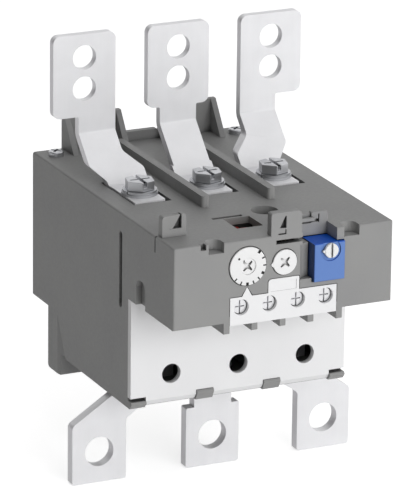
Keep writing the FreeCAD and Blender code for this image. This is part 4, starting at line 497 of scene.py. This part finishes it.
def print_setting_scale():
    """Nine marks round the setting dial, every third one heavy, and two dots."""
    mesh = bmesh.new()
    low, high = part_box("setting_dial")
    centre = Vector(((low.x + high.x) / 2, 0, (low.z + high.z) / 2))
    face = low.y - INK_HEIGHT
    for index in range(MARK_COUNT):
        major, step = divmod(index, MARKS_PER_MAJOR)
        length, width = MINOR_MARK if step else MAJOR_MARK
        start, end = MAJOR_MARKS_DEG[major:major + 2]
        angle = math.radians(start + (end - start) * step / MARKS_PER_MAJOR)
        radial_mark(mesh, centre, angle, MARK_OUTER, length, width, face)
    for x, z, radius in DOTS:
        prism(mesh, ring_of(centre.x + x, centre.z + z, radius, DOT_SIDES), face, face + 2 * INK_HEIGHT)
    return mesh_piece("setting_scale", mesh, PRINT_INK, "setting_dial")


# Studio light: the world's strength, the share of it that is left on the far left and the two directions
# between which it fades, and the key light's place from the middle of the part, its size in metres and its
# power in watts
WORLD_LIGHT = 0.53
WORLD_LEFT = 0.04
WORLD_FADE = (-0.7, -0.25)
KEY_PLACE = Vector((0.25, -1.4, 0.34))
KEY_WIDTH = 1.2
KEY_HEIGHT = 0.8
KEY_POWER = 12.6


def light_the_studio():
    """Soft daylight all round, much darker at the left, and one large key light from the front and above."""
    world = bpy.data.worlds.new("studio")
    world.use_nodes = True
    tree = world.node_tree
    tree.nodes.clear()
    towards = add(tree, "ShaderNodeTexCoord").outputs["Generated"]
    split = add(tree, "ShaderNodeSeparateXYZ", {"Vector": towards})
    side = add(tree, "ShaderNodeMapRange", {
        "Value": split.outputs["X"], "From Min": WORLD_FADE[0], "From Max": WORLD_FADE[1],
        "To Min": WORLD_LEFT, "To Max": 1.0})
    path = add(tree, "ShaderNodeLightPath")
    seen = add(tree, "ShaderNodeMath", {0: path.outputs["Is Camera Ray"], 1: path.outputs["Is Glossy Ray"]},
               operation="ADD")
    seen = add(tree, "ShaderNodeMath", {0: seen.outputs["Value"], 1: path.outputs["Is Transmission Ray"]},
               operation="ADD", use_clamp=True)
    strength = add(tree, "ShaderNodeMapRange", {
        "Value": seen.outputs["Value"], "To Min": WORLD_LIGHT, "To Max": 1.0})
    shade = add(tree, "ShaderNodeMath", {0: side.outputs["Result"], 1: strength.outputs["Result"]},
                operation="MULTIPLY")
    shade = add(tree, "ShaderNodeMath", {0: shade.outputs["Value"], 1: path.outputs["Is Camera Ray"]},
                operation="MAXIMUM")
    background = add(tree, "ShaderNodeBackground", {
        "Color": linear("#ffffff"), "Strength": shade.outputs["Value"]})
    add(tree, "ShaderNodeOutputWorld", {"Surface": background.outputs["Background"]})
    bpy.context.scene.world = world

    key = bpy.data.lights.new("key_softbox", "AREA")
    key.shape = "RECTANGLE"
    key.size = KEY_WIDTH
    key.size_y = KEY_HEIGHT
    key.energy = KEY_POWER
    lamp = bpy.data.objects.new("key_softbox", key)
    bpy.context.scene.collection.objects.link(lamp)
    middle = (SOLIDS_BOX[0] + SOLIDS_BOX[1]) / 2
    lamp.location = middle + KEY_PLACE
    lamp.visible_glossy = False
    lamp.rotation_mode = "QUATERNION"
    lamp.rotation_quaternion = (-KEY_PLACE).to_track_quat("-Z", "Y")


# Floor: its own glow for the camera and in mirrors, half its width in metres, and its gap under the part
FLOOR_GLOW = 0.66
FLOOR_MIRRORED = 0.5
FLOOR_HALF = 3.0
FLOOR_GAP = 0.2 * MM


def lay_the_floor():
    """Plain pale floor just under the lower bars. It shows white and keeps the shadow."""
    data = bpy.data.meshes.new("floor")
    level = SOLIDS_BOX[0].z - FLOOR_GAP
    half = FLOOR_HALF
    data.from_pydata([(-half, -half, level), (half, -half, level), (half, half, level), (-half, half, level)],
                     [], [(0, 1, 2, 3)])
    material, tree, place = new_material("matt_white_paper")
    path = add(tree, "ShaderNodeLightPath")
    mirrored = add(tree, "ShaderNodeMath", {
        0: path.outputs["Is Glossy Ray"], 1: path.outputs["Is Transmission Ray"]}, operation="MAXIMUM")
    mirrored = add(tree, "ShaderNodeMath", {0: mirrored.outputs["Value"], 1: FLOOR_MIRRORED},
                   operation="MULTIPLY")
    glow = add(tree, "ShaderNodeMath", {
        0: path.outputs["Is Camera Ray"], 1: FLOOR_GLOW, 2: mirrored.outputs["Value"]},
        operation="MULTIPLY_ADD")
    shader = add(tree, "ShaderNodeBsdfPrincipled", {
        "Base Color": linear("#f4f4f4"), "Roughness": 0.9, "Emission Color": linear("#ffffff"),
        "Emission Strength": glow.outputs["Value"]})
    close_material(tree, shader)
    data.materials.append(material)
    floor = bpy.data.objects.new("floor", data)
    bpy.context.scene.collection.objects.link(floor)


# Camera of the photograph: where it stood and how it was turned
CAMERA_PLACE = Vector((-639.214, -1379.741, 431.478)) * MM
CAMERA_RIGHT = Vector((0.90605473, -0.42299384, 0.01187611))
CAMERA_UP = Vector((0.1232206, 0.29058024, 0.94888345))
CAMERA_AHEAD = Vector((0.40482281, 0.85827696, -0.31540316))
FOCAL_PIXELS = 4621.4
IMAGE_HEIGHT = 500
SENSOR_MM = 36.0


def stand_the_camera():
    """The photograph's own view, a long lens from the front left and above."""
    data = bpy.data.cameras.new("camera")
    data.sensor_fit = "VERTICAL"
    data.sensor_height = SENSOR_MM
    data.lens = FOCAL_PIXELS / IMAGE_HEIGHT * SENSOR_MM
    data.clip_start = 0.1
    data.clip_end = 20.0
    camera = bpy.data.objects.new("camera", data)
    bpy.context.scene.collection.objects.link(camera)
    turned = Matrix((CAMERA_RIGHT, CAMERA_UP, -CAMERA_AHEAD)).transposed().to_4x4()
    camera.matrix_world = Matrix.Translation(CAMERA_PLACE) @ turned
    bpy.context.scene.camera = camera


bpy.context.scene.view_settings.view_transform = "Standard"
stand_the_camera()
finish_solids()
make_bar_screws()
make_control_screws()
print_setting_scale()
lay_the_floor()
light_the_studio()
